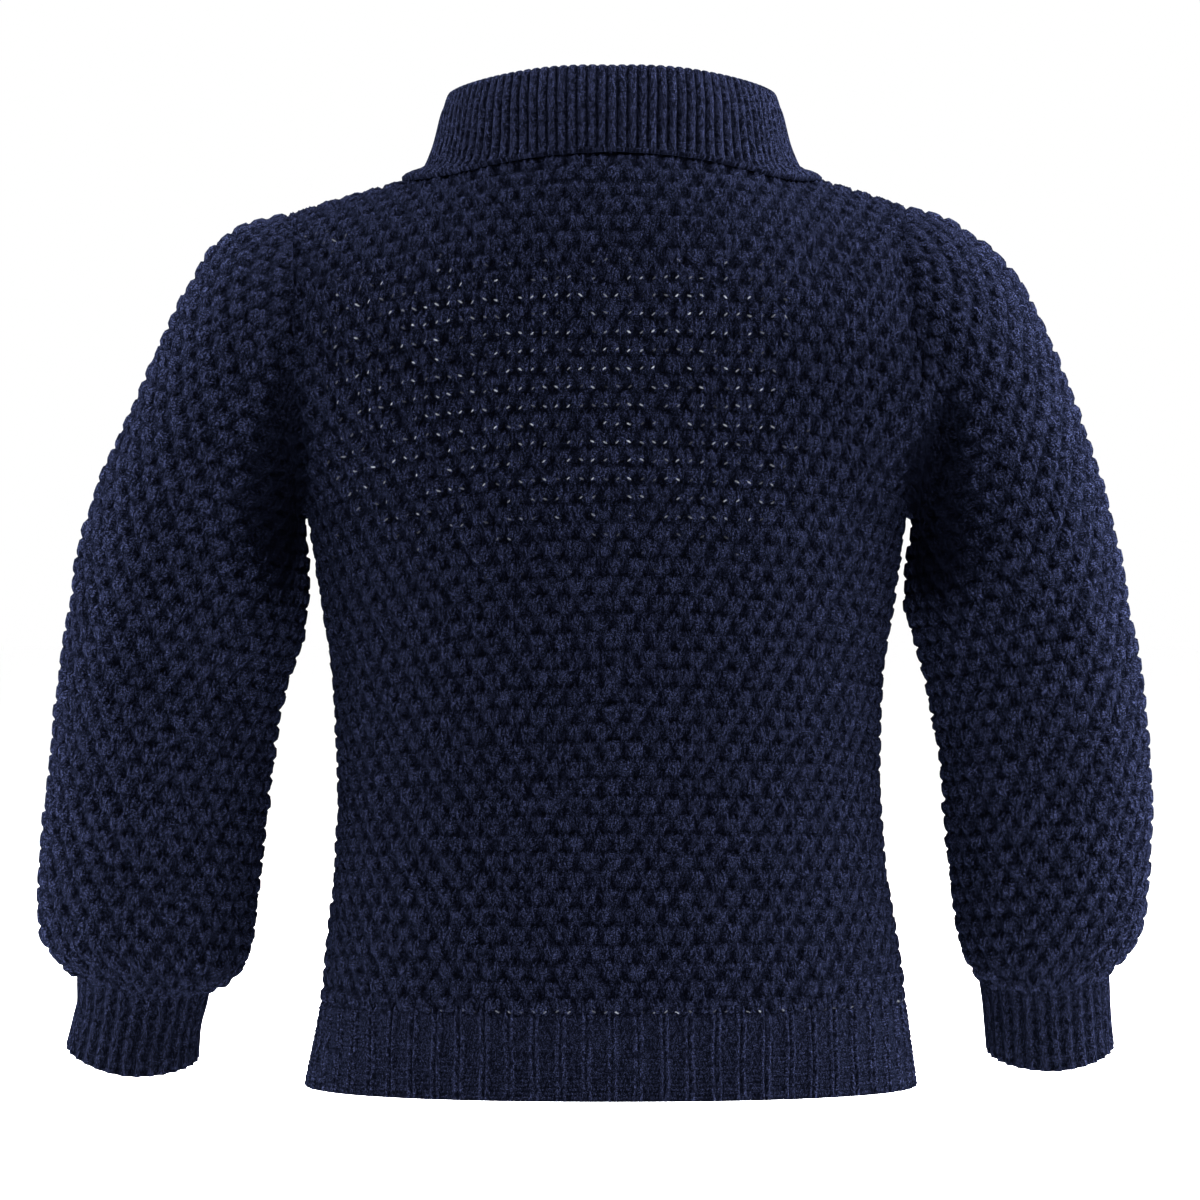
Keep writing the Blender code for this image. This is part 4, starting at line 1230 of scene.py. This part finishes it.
def place(name: str, mesh: bpy.types.Mesh, material: bpy.types.Material, slot: str,
          nodes: tuple[str, ...]) -> bpy.types.Object:
    """Put a finished mesh in the scene, riding on the one body, in place of its solids."""
    mesh.materials.append(material)
    piece = make_object(name, mesh)
    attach(piece, "root")
    if nodes:
        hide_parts(*nodes)
    mesh.calc_loop_triangles()
    LOG.info("%s: %d triangles", name, len(mesh.loop_triangles))
    return piece


def make_mesh(name: str, places: Array, faces: list) -> bpy.types.Mesh:
    """A plain mesh from points and faces."""
    mesh = bpy.data.meshes.new(name)
    mesh.from_pydata(places.tolist(), [], faces)
    mesh.update()
    return mesh


def make_object(name: str, data: bpy.types.ID) -> bpy.types.Object:
    """An object in the scene with the given mesh, light or camera."""
    item = bpy.data.objects.new(name, data)
    bpy.context.collection.objects.link(item)
    return item


@dataclass
class Panel:
    """One knitted piece: its cloth, its stitch and how its edges close.

    Attributes:
        node: the solid it stands for; its own name is made from this.
        wall: thickness, from the middle height of the stitches to the inner face.
        sides, bottom, top: the edges at which the stitches level out.
        valley: distance from such an edge where the stitches have their full height.
        sink_sides, sink_bottom, sink_top: how deep each edge sinks, and the distance it takes.
        arch: how much a course bows up for each square of the length across.
        both_faces: whether the inner face shows the stitches too.
        gathers: height of the gathers above its bottom edge.
        fold_at: length up the cloth where it folds over and its stitches stretch flat.
        holes: chance of a painted spot of light, for a pinhole, at each point.
    """

    node: str
    slot: str
    cloth: Cloth
    stitch: Stitch
    wall: float
    sides: bool = True
    bottom: bool = False
    top: bool = True
    valley: float = 0.4
    sink_sides: Pair = (0.0, 1.0)
    sink_bottom: Pair = (0.0, 1.0)
    sink_top: Pair = (0.0, 1.0)
    arch: float | Array = 0.0
    both_faces: bool = False
    creases: tuple = ()
    pushes: tuple = ()
    gathers: float = 0.0
    fold_at: float | None = None
    holes: Array | None = None

    @property
    def name(self) -> str:
        """Name of the piece."""
        return f"{self.node}_knit"

    def relief(self, v: Array, level: float = 0.5) -> Array:
        """Relief of the stitches, which evens out to one level at the chosen edges."""
        distance = self.cloth.edge_distance(self.sides, self.bottom, self.top)
        full = ease(distance, 0.0, self.valley)
        return self.stitch.relief(self.cloth.u, v) * full + level * (1.0 - full)

    def height(self, relief: Array, v: Array, fold_reach: float = 7.0,
               flattened: float = 0.65) -> Array:
        """Height of the outer face over the cloth: the relief, flattened as a bell curve of the
        distance to a fold, less the sinking of each edge, uneven as a sine of a sine."""
        cloth = self.cloth
        height = (relief - self.stitch.mean) * self.stitch.depth
        if self.fold_at is not None:
            fold = np.exp(-(((v - self.fold_at) / fold_reach) ** 2))
            height = height * (1.0 - flattened * fold)
        wander = cloth.u + v
        uneven = 1.0 + 0.5 * np.sin(0.83 * wander + 1.7 * np.sin(0.19 * wander))
        for (sink, reach), distance in (
            (self.sink_sides, cloth.edge_distance(True, False, False)),
            (self.sink_bottom, cloth.rise),
            (self.sink_top, cloth.rise[-1:] - cloth.rise),
        ):
            height = height - sink * uneven * (1.0 - ease(distance, 0.0, reach))
        return height

    def moves(self, points: Array, normals: Array, gather_height: float = 5.0) -> Array:
        """How far the folds move each point, and the gathers: two uneven waves round the cloth,
        highest at one height and fading out above it."""
        moved = folded(points, normals, self.creases, self.pushes)
        if self.gathers:
            turn = np.linspace(0.0, TURN, points.shape[1])
            waves = np.sin(11.0 * turn + 0.7 * np.sin(3.0 * turn)) + 0.6 * np.sin(17.0 * turn + 1.9)
            part = self.cloth.rise / gather_height
            shape = part * np.exp(1.0 - part)
            moved = moved + normals * (self.gathers * waves * shape)[..., None]
        return moved

    def shell(self) -> Shell:
        """Push the cloth in and out by its relief, and give it an inner face a wall away.

        The courses bow up with the square of the length across, more and more from 20 to 160 mm
        up the cloth, and shade is painted into a deep fold by lowering the relief that its colour
        is read from.
        """
        cloth = self.cloth
        thin = 1 if self.both_faces else 3
        v = cloth.v + self.arch * cloth.u**2 * ease(cloth.v, 20.0, 160.0)
        relief = self.relief(v)
        height = self.height(relief, v)
        points = cloth.wrapped()
        moved = self.moves(points, cloth.ways_out(points))
        points = points + moved
        normals = cloth.ways_out(points)
        depth = (height if self.both_faces else np.zeros_like(height)) - self.wall
        outer = points + normals * height[..., None]
        inner = (points + normals * depth[..., None])[::thin, ::thin]
        if cloth.closed:
            outer, inner = outer[:, :-1], inner[:, :-1]
        holes = np.zeros(relief.shape) if self.holes is None else self.holes
        # Painted shade: deep folds lower the relief that the colour is read from, so they come out
        # darker.
        fold_shaded_relief = relief - 0.9 * pressed(moved)
        return Shell(self.name, outer, inner, cloth.closed, cloth.u, v, fold_shaded_relief, holes, thin)

    def make(self, material: bpy.types.Material, held: str = "draped") -> None:
        """Build the piece and work out the size of its flat cut."""
        piece = place(self.name, self.shell().build(), material, self.slot, (self.node,))
        width, length, area = self.cloth.flat_size()


@dataclass(frozen=True)
class Daylight:
    """Where spots of light are painted on the back, for pinholes: high up, low along the rib join
    and at a shoulder.

    Attributes:
        in_x, out_x: where the upper patch fades in and out from side to side.
        in_z, out_z: where it fades in and out on the way up.
        join_x, join_z: where the strip along the rib join fades out.
        shoulder, reach: middle and half widths of the shoulder's patch, in x and z.
        low: how strong the last two are beside the first.
    """

    in_x: Pair = (-92.0, -50.0)
    out_x: Pair = (100.0, 128.0)
    in_z: Pair = (-185.0, -120.0)
    out_z: Pair = (-54.0, -30.0)
    join_x: Pair = (60.0, 96.0)
    join_z: Pair = (-339.0, -333.0)
    shoulder: Pair = (116.0, -30.0)
    reach: Pair = (10.0, 6.0)
    low: float = 0.9

    def mask(self, x: Array, z: Array) -> Array:
        """Chance of a painted spot of light at each point: soft steps, and a bell curve at the
        shoulder.
        """
        upper = ease(x, *self.in_x) * (1.0 - ease(x, *self.out_x))
        upper = upper * ease(z, *self.in_z) * (1.0 - ease(z, *self.out_z))
        join = (1.0 - ease(z, *self.join_z)) * (1.0 - ease(x, *self.join_x))
        off_x = (x - self.shoulder[0]) / self.reach[0]
        off_z = (z - self.shoulder[1]) / self.reach[1]
        shoulder = np.exp(-(off_x**2) - off_z**2)
        return np.maximum.reduce([upper, join * self.low, shoulder * self.low])


@dataclass
class Body:
    """Back, two fronts, their hem ribs and the button bands.

    Attributes:
        back_rows, front_rows, band_rows: rows below the underarm and above it.
        hem_step, hem_widths: step across the hem rib, and its lengths across half the back and
            across a front.
        tuck: how far the hem rib reaches up behind the body.
        arches: how much the back's courses bow, on the wearer's left and right.
    """

    back_half_columns: int = 135
    back_rows: tuple[int, int] = (165, 135)
    front_columns: int = 108
    front_rows: tuple[int, int] = (150, 123)
    hem_rows: int = 45
    hem_step: float = 0.6
    hem_widths: Pair = (165.0, 150.0)
    band_columns: int = 48
    band_rows: tuple[int, int] = (120, 60)
    rib_wall: float = 2.4
    tuck: float = 3.6
    arches: Pair = (0.00095, 0.0005)

    @staticmethod
    def levels(lower_rows: int, yoke_rows: int) -> tuple[Array, Array]:
        """Heights of the rows from the rib join to just under the underarm, and turns of those
        round the armhole from the underarm to the shoulder seam."""
        join = RIB_JOIN_HEIGHT + SEAM_GAP / 2.0
        return (np.linspace(join, UNDERARM_HEIGHT, lower_rows + 1)[:-1],
                np.linspace(HALF_TURN, 0.0, yoke_rows + 1))

    @staticmethod
    def knit(node_name: str, points: Array, start: int, stitch: Stitch,
             arch: float | Array = 0.0, holes: Array | None = None) -> Panel:
        """A panel of the body, which sinks at its seams and has the body's folds."""
        return Panel(node_name, "body_knit", Cloth(points).laid(start), stitch, BUBBLE_WALL,
                     sink_sides=(1.6, 3.0), sink_bottom=(1.3, 1.8), sink_top=(1.2, 8.0),
                     arch=arch, creases=BODY_CREASES, pushes=ARMHOLE_PUSHES, holes=holes)

    def back(self) -> Panel:
        """Back panel, side seam to side seam and rib join to neckline."""
        points = back_points(*self.levels(*self.back_rows), self.back_half_columns)
        x, z = points[..., 0], points[..., 2]
        return self.knit("back", points, self.back_half_columns, BubbleStitch(),
                         np.where(x > 0.0, *self.arches), Daylight().mask(x, z))

    def front(self, hole: Armhole) -> Panel:
        """One front, from its side seam to the edge of the button band."""
        points = front_points(hole, *self.levels(*self.front_rows), self.front_columns)
        start = 0 if hole.side > 0 else self.front_columns
        return self.knit(f"front_{hole.word}", points, start, BubbleStitch(seed=11 + hole.side))

    def hem_ribs(self) -> list[Panel]:
        """Ribbed hem under the back and under each front."""
        heights = np.linspace(HEM_HEIGHT, RIB_JOIN_HEIGHT + self.tuck, self.hem_rows + 1)
        none = np.empty(0)
        half, columns = (3 * round(width / self.hem_step / 3.0) for width in self.hem_widths)
        made = []
        for word, points, start in (
            ("back", back_points(heights, none, half), half),
            ("front_left", front_points(LEFT_ARMHOLE, heights, none, columns), 0),
            ("front_right", front_points(RIGHT_ARMHOLE, heights, none, columns), columns),
        ):
            made.append(Panel(f"hem_rib_{word}", "hem_rib", Cloth(points).laid(start),
                              PairedRib(), self.rib_wall, top=False, sink_top=(1.8, 5.0)))
        return made

    def bands(self, clearance: float = 0.3) -> list[Panel]:
        """Button bands, each a little thinner than its solid: the right one lies over the left."""
        lower, yoke = self.band_rows
        heights = np.linspace(HEM_HEIGHT, UNDERARM_HEIGHT, lower + 1)[:-1]
        turns = np.linspace(HALF_TURN, math.radians(BAND_TOP_TURN), yoke + 1)
        points = band_points(heights, turns, self.band_columns)
        normals = outward(points)
        made = []
        for word, side in (("left", -1), ("right", 1)):
            cloth = Cloth(points + normals * side * BAND_LEVEL).laid(self.band_columns // 2)
            made.append(Panel(f"button_band_{word}", "band_rib", cloth, PlainRib(depth=0.9),
                              BAND_WALL - clearance, top=False, valley=1.0))
        return made


@dataclass
class Arm:
    """One sleeve, set in and gathered, and its cuff.

    Attributes:
        sleeve, cuff: rings of each, going down.
        underarm_dip, dip_blend: how far the seam hangs at the underarm, and the power of the
            turn it fades with.
        lean: how far the wales lean outwards on their way down, as a slope.
        tuck: how far the sleeve reaches in behind the body.
        cuff_start: how far the cuff reaches up into the gathers, in rings.
    """

    hole: Armhole
    sleeve: tuple
    cuff: tuple
    creases: tuple
    columns: int = 240
    rows: int = 240
    cuff_columns: int = 396
    cuff_rows: int = 30
    samples: int = 400
    rib_wall: float = 2.2
    underarm_dip: float = 1.5
    dip_blend: int = 8
    lean: float = 0.18
    tuck: float = 3.4
    cuff_start: float = 0.7

    def grid(self, columns: int, places: Array) -> Array:
        """Rings of points at places along the arm: 0 at the armhole, then 1 for each table row.

        Columns start at the underarm line and pass the back, the outer line and the front, in
        the way that keeps the outside outside.  Between table rings every point follows a curve.
        """
        side = self.hole.side
        turns = side * (np.linspace(0.0, TURN, columns, endpoint=False) - HALF_TURN)
        size = np.abs(turns)
        start = TORSO.armhole_point(self.hole, size, np.where(turns >= 0.0, 1.0, -1.0))
        start[:, 0] -= side * self.tuck
        start[:, 2] -= self.underarm_dip * (size / HALF_TURN) ** self.dip_blend
        rings = ring_points(self.sleeve + self.cuff, side, turns)
        rings = np.concatenate([start[None], rings])
        return smooth(places, np.arange(len(rings)), rings)

    def places(self, first: float, last: float, rows: int) -> Array:
        """Places along the arm, evenly spaced by the length of its outer line and half of that
        of its inner line."""
        fine = np.linspace(first, last, self.samples)
        lines = self.grid(4, fine)
        steps = np.linalg.norm(np.diff(lines, axis=0), axis=2)
        run = running(steps[:, 2] + 0.5 * steps[:, 0])
        return np.interp(np.linspace(run[-1], 0.0, rows + 1), run, fine)

    def wale_ways(self, points: Array) -> Array:
        """Direction of the wales: that of the outer line at the same height near that line, and
        up the arm's own lean elsewhere.

        The share of the outer line falls off as a power of the cosine of half the turn from it.
        """
        turns = np.linspace(-HALF_TURN, HALF_TURN, points.shape[1])
        line = points[:, self.columns // 2]
        ways = unit(np.gradient(line, axis=0))
        order = np.argsort(line[:, 2])
        heights = line[order, 2]
        at_height = [np.interp(points[..., 2], heights, ways[order, axis]) for axis in range(3)]
        share = (np.cos(turns / 2.0) ** 4)[None, :, None]
        lean = unit(np.array([-self.hole.side * self.lean, 0.0, 1.0]))
        return np.stack(at_height, axis=-1) * share + lean * (1.0 - share)

    def sleeve_panel(self) -> Panel:
        """Sleeve, from the cuff up to the armhole."""
        points = self.grid(self.columns, self.places(0.0, float(len(self.sleeve)), self.rows))
        cloth = Cloth(points, closed=True)
        cloth.lay_along(self.columns // 2, self.wale_ways(cloth.wrapped()))
        stitch = BubbleStitch(seed=20 + self.hole.side, depth=2.9, spread=0.2, roundness=0.45)
        return Panel(f"sleeve_{self.hole.word}", "sleeve_knit", cloth, stitch, BUBBLE_WALL,
                     sink_bottom=(1.3, 1.8), sink_top=(2.0, 3.2), creases=self.creases,
                     pushes=ARMHOLE_PUSHES, gathers=0.6)

    def cuff_panel(self) -> Panel:
        """Cuff, from its edge up to the gathers."""
        join, stitch = float(len(self.sleeve)), LadderRib()
        places = self.places(join - self.cuff_start, join + len(self.cuff), self.cuff_rows)
        cloth = Cloth(self.grid(self.cuff_columns, places), closed=True)
        cloth = cloth.laid(self.cuff_columns // 2, per_pitch=stitch.pitch)
        return Panel(f"cuff_{self.hole.word}", "cuff_rib", cloth, stitch, self.rib_wall,
                     top=False, sink_top=(1.2, 5.0), pushes=CUFF_PUSHES)


@dataclass
class Collar:
    """Ribbed fold-over collar: stand, fold and fall in one wall, open at the centre front.

    Attributes:
        stand_dip: how far the stand reaches down into the neck seam.
        clearance: least distance of the fall's middle from the yoke.
        settle: how far the free edge may come down to that distance.
        near, far: distances from the yoke between which the fall stops following it.
        soften: how many times that following is evened out.
        ribs, samples: wales of rib, and grid columns for each.
        columns: columns that the fall is laid on the yoke with.
        thinner: how much thinner the wall is than its solid's.
    """

    fold_radius: float = 1.8
    stand_dip: float = 3.0
    clearance: float = SEAM_GAP + COLLAR_WALL / 2.0 + 0.6
    settle: float = 10.0
    near: float = 14.0
    far: float = 24.0
    soften: int = 6
    ribs: int = 100
    samples: int = 7
    columns: int = 121
    thinner: float = 0.4
    stand_steps: int = 14
    fold_steps: int = 8
    fall_steps: int = 24

    @staticmethod
    def yoke() -> tuple[Array, Array]:
        """Points and outward directions of the yoke that the fall rests on."""
        heights, turns = Body.levels(lower_rows=20, yoke_rows=89)
        rows = (heights[-1:], turns)
        grids = [back_points(*rows, half_columns=60)]
        grids += [front_points(hole, *rows, columns=60) for hole in (LEFT_ARMHOLE, RIGHT_ARMHOLE)]
        points = np.concatenate([grid.reshape(-1, 3) for grid in grids])
        return points, np.concatenate([outward(grid).reshape(-1, 3) for grid in grids])

    def sections(self, turns: Array) -> Array:
        """Middle line of the collar at each signed turn: up the stand, over and down the fall.

        The stand is a straight line from the seam to the crown, the fold a half circle and the
        fall a straight line with a sine of sway, all in the plane of the way out at that turn.
        """
        keys = column(COLLAR_TABLE, "turn")
        size, side = np.abs(turns), np.where(turns >= 0.0, 1.0, -1.0)
        at = {name: smooth(np.degrees(size), keys, column(COLLAR_TABLE, name))
              for name in CollarSection._fields}
        seam = TORSO.neck_point(size, side, at["inset"] + COLLAR_WALL / 2.0)
        slope_x, slope_y = TORSO.neck_half_width**2, TORSO.neck_depth(size) ** 2
        way = np.stack([seam[:, 0] / slope_x, seam[:, 1] / slope_y, np.zeros_like(size)], axis=-1)
        way = unit(way)
        up, radius = np.array([0.0, 0.0, 1.0]), self.fold_radius
        crown = seam + way * at["fold_out"][:, None] + up * (at["fold_rise"] - radius)[:, None]
        edge = np.stack([side * at["edge_x"], at["edge_y"], at["edge_z"]], axis=-1)
        rows = [seam - up * self.stand_dip]
        for part in np.linspace(0.0, 1.0, self.stand_steps, endpoint=False):
            rows.append(seam + (crown - seam) * part)
        for angle in np.linspace(0.0, HALF_TURN, self.fold_steps + 1):
            rows.append(crown + (way * (1.0 - math.cos(angle)) + up * math.sin(angle)) * radius)
        start = rows[-1]
        for part in np.linspace(0.0, 1.0, self.fall_steps + 1)[1:]:
            sway = (at["sway"] * math.sin(HALF_TURN * part))[:, None]
            rows.append(start + (edge - start) * part + way * sway)
        return np.stack(rows)

    def rest(self, rows: Array) -> Array:
        """Move the fall out to its clearance where it would come nearer to the yoke, and let its
        edge settle towards that clearance where it would stand off."""
        points, ways = self.yoke()
        first = self.stand_steps + self.fold_steps + 2
        fall = rows[first:]
        near = np.stack([((row[:, None] - points) ** 2).sum(axis=2).argmin(axis=1) for row in fall])
        off = fall - points[near]
        freedom = self.settle * np.linspace(0.0, 1.0, len(fall))[:, None] ** 1.3
        lift = np.maximum(self.clearance - (off * ways[near]).sum(axis=2), -freedom)
        lift = lift * (1.0 - ease(np.linalg.norm(off, axis=2), self.near, self.far))
        move = ways[near] * lift[..., None]
        for _ in range(self.soften):
            wide = np.concatenate([move[:, :1], move, move[:, -1:]], axis=1)
            move = (wide[:, :-2] + wide[:, 1:-1] + wide[:, 2:]) / 3.0
        move[1:-1] = (move[:-2] + move[1:-1] + move[2:]) / 3.0
        return np.concatenate([rows[:first], fall + move])

    def panel(self) -> Panel:
        """The whole collar as one panel of one-by-one rib, with as many wales at each height."""
        reach = math.radians(COLLAR_TABLE[-1].turn)
        coarse = np.linspace(-reach, reach, self.columns)
        rows = self.rest(self.sections(coarse))
        fine_columns = self.ribs * self.samples
        fine = np.linspace(-reach, reach, fine_columns + 1)
        points = smooth(fine, coarse, rows.transpose(1, 0, 2)).transpose(1, 0, 2)
        cloth = Cloth(points + outward(points) * COLLAR_WALL / 2.0)
        stitch = PlainRib()
        across = np.linspace(-0.5, 0.5, fine_columns + 1) * self.ribs * stitch.pitch
        cloth.u = np.broadcast_to(across, cloth.across.shape)
        fold = cloth.rise[1 + self.stand_steps + self.fold_steps // 2, fine_columns // 2]
        return Panel("collar", "collar_rib", cloth, stitch, COLLAR_WALL - self.thinner,
                     sides=False, valley=1.8, both_faces=True, fold_at=float(fold))


@dataclass
class Buttons:
    """Round four-hole buttons, sewn flat on the outer band with a cross of thread.

    Attributes:
        spread: distance of the holes from the middle.
        lift: height of the seat over the middle of the two bands.
        beyond: how far the pins that cut the holes reach past the button.
        yarn, aside: radius of the thread, and distance of a bar's two threads from its middle.
        bar, bar_step: heights of the lower bar and of the upper one over it, in thicknesses.
        bar_rise, bar_drop, bar_past: how far a bar stands up, drops at its ends, and reaches
            past the middles of the holes.
    """

    count: int = 5
    diameter: float = 15.0
    thickness: float = 3.0
    sides: int = 64
    hole: float = 1.8
    hole_sides: int = 16
    spread: float = 2.0
    lift: float = BAND_LEVEL + 0.4
    top_height: float = -70.0
    bottom_height: float = -348.0
    yarn: float = 0.34
    aside: float = 0.32
    yarn_sides: int = 6
    yarn_steps: int = 9
    profile_steps: int = 40
    beyond: float = 1.0
    bar: float = 0.66
    bar_step: float = 0.13
    bar_rise: float = 0.25
    bar_drop: float = 1.5
    bar_past: float = 0.2

    def solid(self) -> bpy.types.Mesh:
        """The button: its profile turned about the axis, less four upright pins."""
        keys = np.linspace(0.0, 1.0, len(BUTTON_PROFILE))
        shares = np.linspace(0.0, 1.0, self.profile_steps)
        line = smooth(shares, keys, np.array(BUTTON_PROFILE))[1:-1]
        turns = np.linspace(0.0, TURN, self.sides, endpoint=False)
        radius = line[:, 0] * self.diameter / 2.0
        height = np.repeat(line[:, 1:] * self.thickness, self.sides, axis=1)
        x, y = np.outer(radius, np.cos(turns)), np.outer(radius, np.sin(turns))
        index = np.arange(x.size).reshape(x.shape)
        sides = quads(wrap(index))[:, [0, 3, 2, 1]]
        faces = [*sides.tolist(), index[0].tolist(), index[-1][::-1].tolist()]
        rings = np.stack([x, y, height], axis=-1).reshape(-1, 3)
        blank = make_object("button_blank", make_mesh("button_blank", rings, faces))
        cutter = make_object("hole_cutter", make_mesh("hole_cutter", *self.pins()))
        modifier = blank.modifiers.new("holes", "BOOLEAN")
        modifier.operation = "DIFFERENCE"
        modifier.object = cutter
        bpy.context.view_layer.update()
        evaluated = blank.evaluated_get(bpy.context.evaluated_depsgraph_get())
        result = bpy.data.meshes.new_from_object(evaluated)
        for item in (blank, cutter):
            bpy.data.objects.remove(item, do_unlink=True)
        return result

    def pins(self) -> tuple[Array, list]:
        """Four upright pins where the holes are."""
        count = self.hole_sides
        corners = np.arange(count) * TURN / count
        circle = np.stack([np.cos(corners), np.sin(corners), np.zeros(count)], axis=-1)
        places, faces = [], []
        for step in range(4):
            angle = QUARTER / 2.0 + step * QUARTER
            x, y = math.cos(angle) * self.spread, math.sin(angle) * self.spread
            for z in (-self.beyond, self.thickness + self.beyond):
                places.append(circle * self.hole / 2.0 + np.array([x, y, z]))
            index = 2 * count * step + np.arange(2 * count).reshape(2, count)
            faces += [index[0][::-1].tolist(), index[1].tolist(), *quads(wrap(index)).tolist()]
        return np.concatenate(places), faces

    def thread(self) -> tuple[Array, list]:
        """Two crossing bars of two threads each, arched a little over the button's middle: their
        height falls off with the sixth power of the length along them."""
        places, faces = [], []
        along = np.linspace(-1.0, 1.0, self.yarn_steps)[:, None]
        ring = np.arange(self.yarn_sides)[None, :, None] * TURN / self.yarn_sides
        up = np.array([0.0, 0.0, 1.0])
        for number, angle in enumerate((QUARTER / 2.0, -QUARTER / 2.0)):
            way = np.array([math.cos(angle), math.sin(angle), 0.0])
            across = np.array([-way[1], way[0], 0.0])
            level = self.thickness * (self.bar + self.bar_step * number) + self.bar_rise
            height = level - self.bar_drop * np.abs(along) ** 6
            for aside in (-self.aside, self.aside):
                line = along * way * (self.spread + self.bar_past) + across * aside + height * up
                tube = line[:, None] + (across * np.cos(ring) + up * np.sin(ring)) * self.yarn
                index = np.arange(tube[..., 0].size).reshape(tube.shape[:2])
                index = index + sum(len(part) for part in places)
                faces += [*quads(wrap(index)).tolist(), index[0][::-1].tolist(), index[-1].tolist()]
                places.append(tube.reshape(-1, 3))
        return np.concatenate(places), faces

    def make(self, resin: bpy.types.Material, yarn: bpy.types.Material) -> None:
        """Seat each button on the outer band, square to the band at its height."""
        heights = np.linspace(HEM_HEIGHT, UNDERARM_HEIGHT, 60)[:-1]
        strip = band_points(heights, np.linspace(HALF_TURN, math.radians(BAND_TOP_TURN), 60), 8)
        line, ways = strip[:, 4], outward(strip)[:, 4]
        shape = self.solid()
        corners = np.empty(3 * len(shape.vertices), np.float32)
        shape.vertices.foreach_get("co", corners)
        corners = corners.reshape(-1, 3)
        faces = [tuple(face.vertices) for face in shape.polygons]
        thread, side = self.thread(), np.array([-1.0, 0.0, 0.0])
        levels = np.linspace(self.top_height, self.bottom_height, self.count)
        for number, height in enumerate(levels, start=1):
            y, way_y, way_z = (np.interp(height, line[:, 2], values)
                               for values in (line[:, 1], ways[:, 1], ways[:, 2]))
            way = unit(np.array([0.0, way_y, way_z]))
            frame = np.stack([side, np.cross(way, side), way])
            seat = np.array([0.0, y, height]) + way * self.lift
            for name, (places, turned), material, slot, nodes in (
                (f"button_{number}_cast", (corners, faces), resin, "button", (f"button_{number}",)),
                (f"button_{number}_thread", thread, yarn, "band_rib", ()),
            ):
                mesh = make_mesh(name, (places @ frame + seat) * MM, turned)
                mesh.shade_smooth()
                mesh.set_sharp_from_angle(angle=math.radians(38.0))
                place(name, mesh, material, slot, nodes)


@dataclass(frozen=True)
class Studio:
    """Pale floor, soft light from all round, lamps and the camera, in metres."""

    floor_half: float = 30.0
    floor_height: float = -0.46
    aim: Triple = (0.0, 0.0, -0.18)
    eye: Triple = (0.0049, 2.3, -0.1763)
    lens_mm: float = 168.0
    sensor_mm: float = 36.0
    sight: float = 100.0

    def floor(self) -> None:
        """A wide sheet of pale paper well under the cardigan."""
        half = self.floor_half
        corners = [(x, y, self.floor_height)
                   for x, y in ((-half, -half), (half, -half), (half, half), (-half, half))]
        mesh = make_mesh("floor", np.array(corners), [(0, 1, 2, 3)])
        paper = {"Base Color": linear("#ffffff"), "Roughness": 1.0}
        mesh.materials.append(new_material("pale_paper", paper)[0])
        make_object("floor", mesh)

    def light(self) -> None:
        """An even white world, and square lamps that all face the middle of the cardigan."""
        world = bpy.data.worlds.new("studio")
        world.use_nodes = True
        background = world.node_tree.nodes["Background"]
        background.inputs["Color"].default_value = linear("#ffffff")
        background.inputs["Strength"].default_value = 1.0
        bpy.context.scene.world = world
        for name, spot, power, width in LAMPS:
            light = bpy.data.lights.new(name, "AREA")
            light.energy = power
            light.size = width
            lamp = make_object(name, light)
            lamp.location = spot
            lamp.rotation_mode = "QUATERNION"
            aim = np.subtract(self.aim, spot)
            lamp.rotation_quaternion = Vector(aim).to_track_quat("-Z", "Y")

    def camera(self) -> None:
        """A long lens straight behind the cardigan."""
        camera = bpy.data.cameras.new("camera")
        camera.sensor_width = self.sensor_mm
        camera.lens = self.lens_mm
        camera.clip_end = self.sight
        viewer = make_object("camera", camera)
        viewer.location = self.eye
        viewer.rotation_euler = (QUARTER, 0.0, HALF_TURN)
        bpy.context.scene.camera = viewer
        bpy.context.scene.view_settings.view_transform = "Standard"


def main() -> None:
    """Build and dress every piece."""
    logging.basicConfig(level=logging.INFO, format="%(name)s: %(message)s", stream=sys.stdout)
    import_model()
    studio = Studio()
    studio.floor()
    studio.light()
    studio.camera()
    # One dye for all, in lighter and darker copies that are painted light and shade: the sleeves'
    # copy is lighter, as they are lit more, the body's darker, as it lies in more shade, and the
    # hem's and the ribs' each as light as those parts are lit.
    lit_bubble = Wool("lit_bubble_wool").build()
    # The body's copy, darker: painted shade.
    close = Wool("shaded_bubble_wool", crest=0.0105, hollow=0.005, fleck=0.23).build()
    rib = Wool("rib_wool", crest=0.014, hollow=0.006, fleck=0.28, strand_mm=0.9,
               shade_from=-0.1, shade_reach=0.9).build()
    # The hem's copy, lighter: painted light.
    lit_hem = Wool("hem_wool", crest=0.02, hollow=0.007, fleck=0.32, strand_mm=0.9,
                 shade_from=-0.2, shade_reach=0.9).build()
    body = Body()
    for panel in (body.back(), body.front(LEFT_ARMHOLE), body.front(RIGHT_ARMHOLE)):
        panel.make(close)
    for panel in body.hem_ribs():
        panel.make(lit_hem)
    for panel in body.bands():
        panel.make(rib)
    for arm in (Arm(LEFT_ARMHOLE, LEFT_SLEEVE, LEFT_CUFF, LEFT_SLEEVE_CREASES),
                Arm(RIGHT_ARMHOLE, RIGHT_SLEEVE, RIGHT_CUFF, RIGHT_SLEEVE_CREASES)):
        arm.sleeve_panel().make(lit_bubble)
        arm.cuff_panel().make(rib)
    Collar().panel().make(rib, "folded")
    Buttons().make(Resin().build(), rib)


if __name__ == "__main__":
    main()
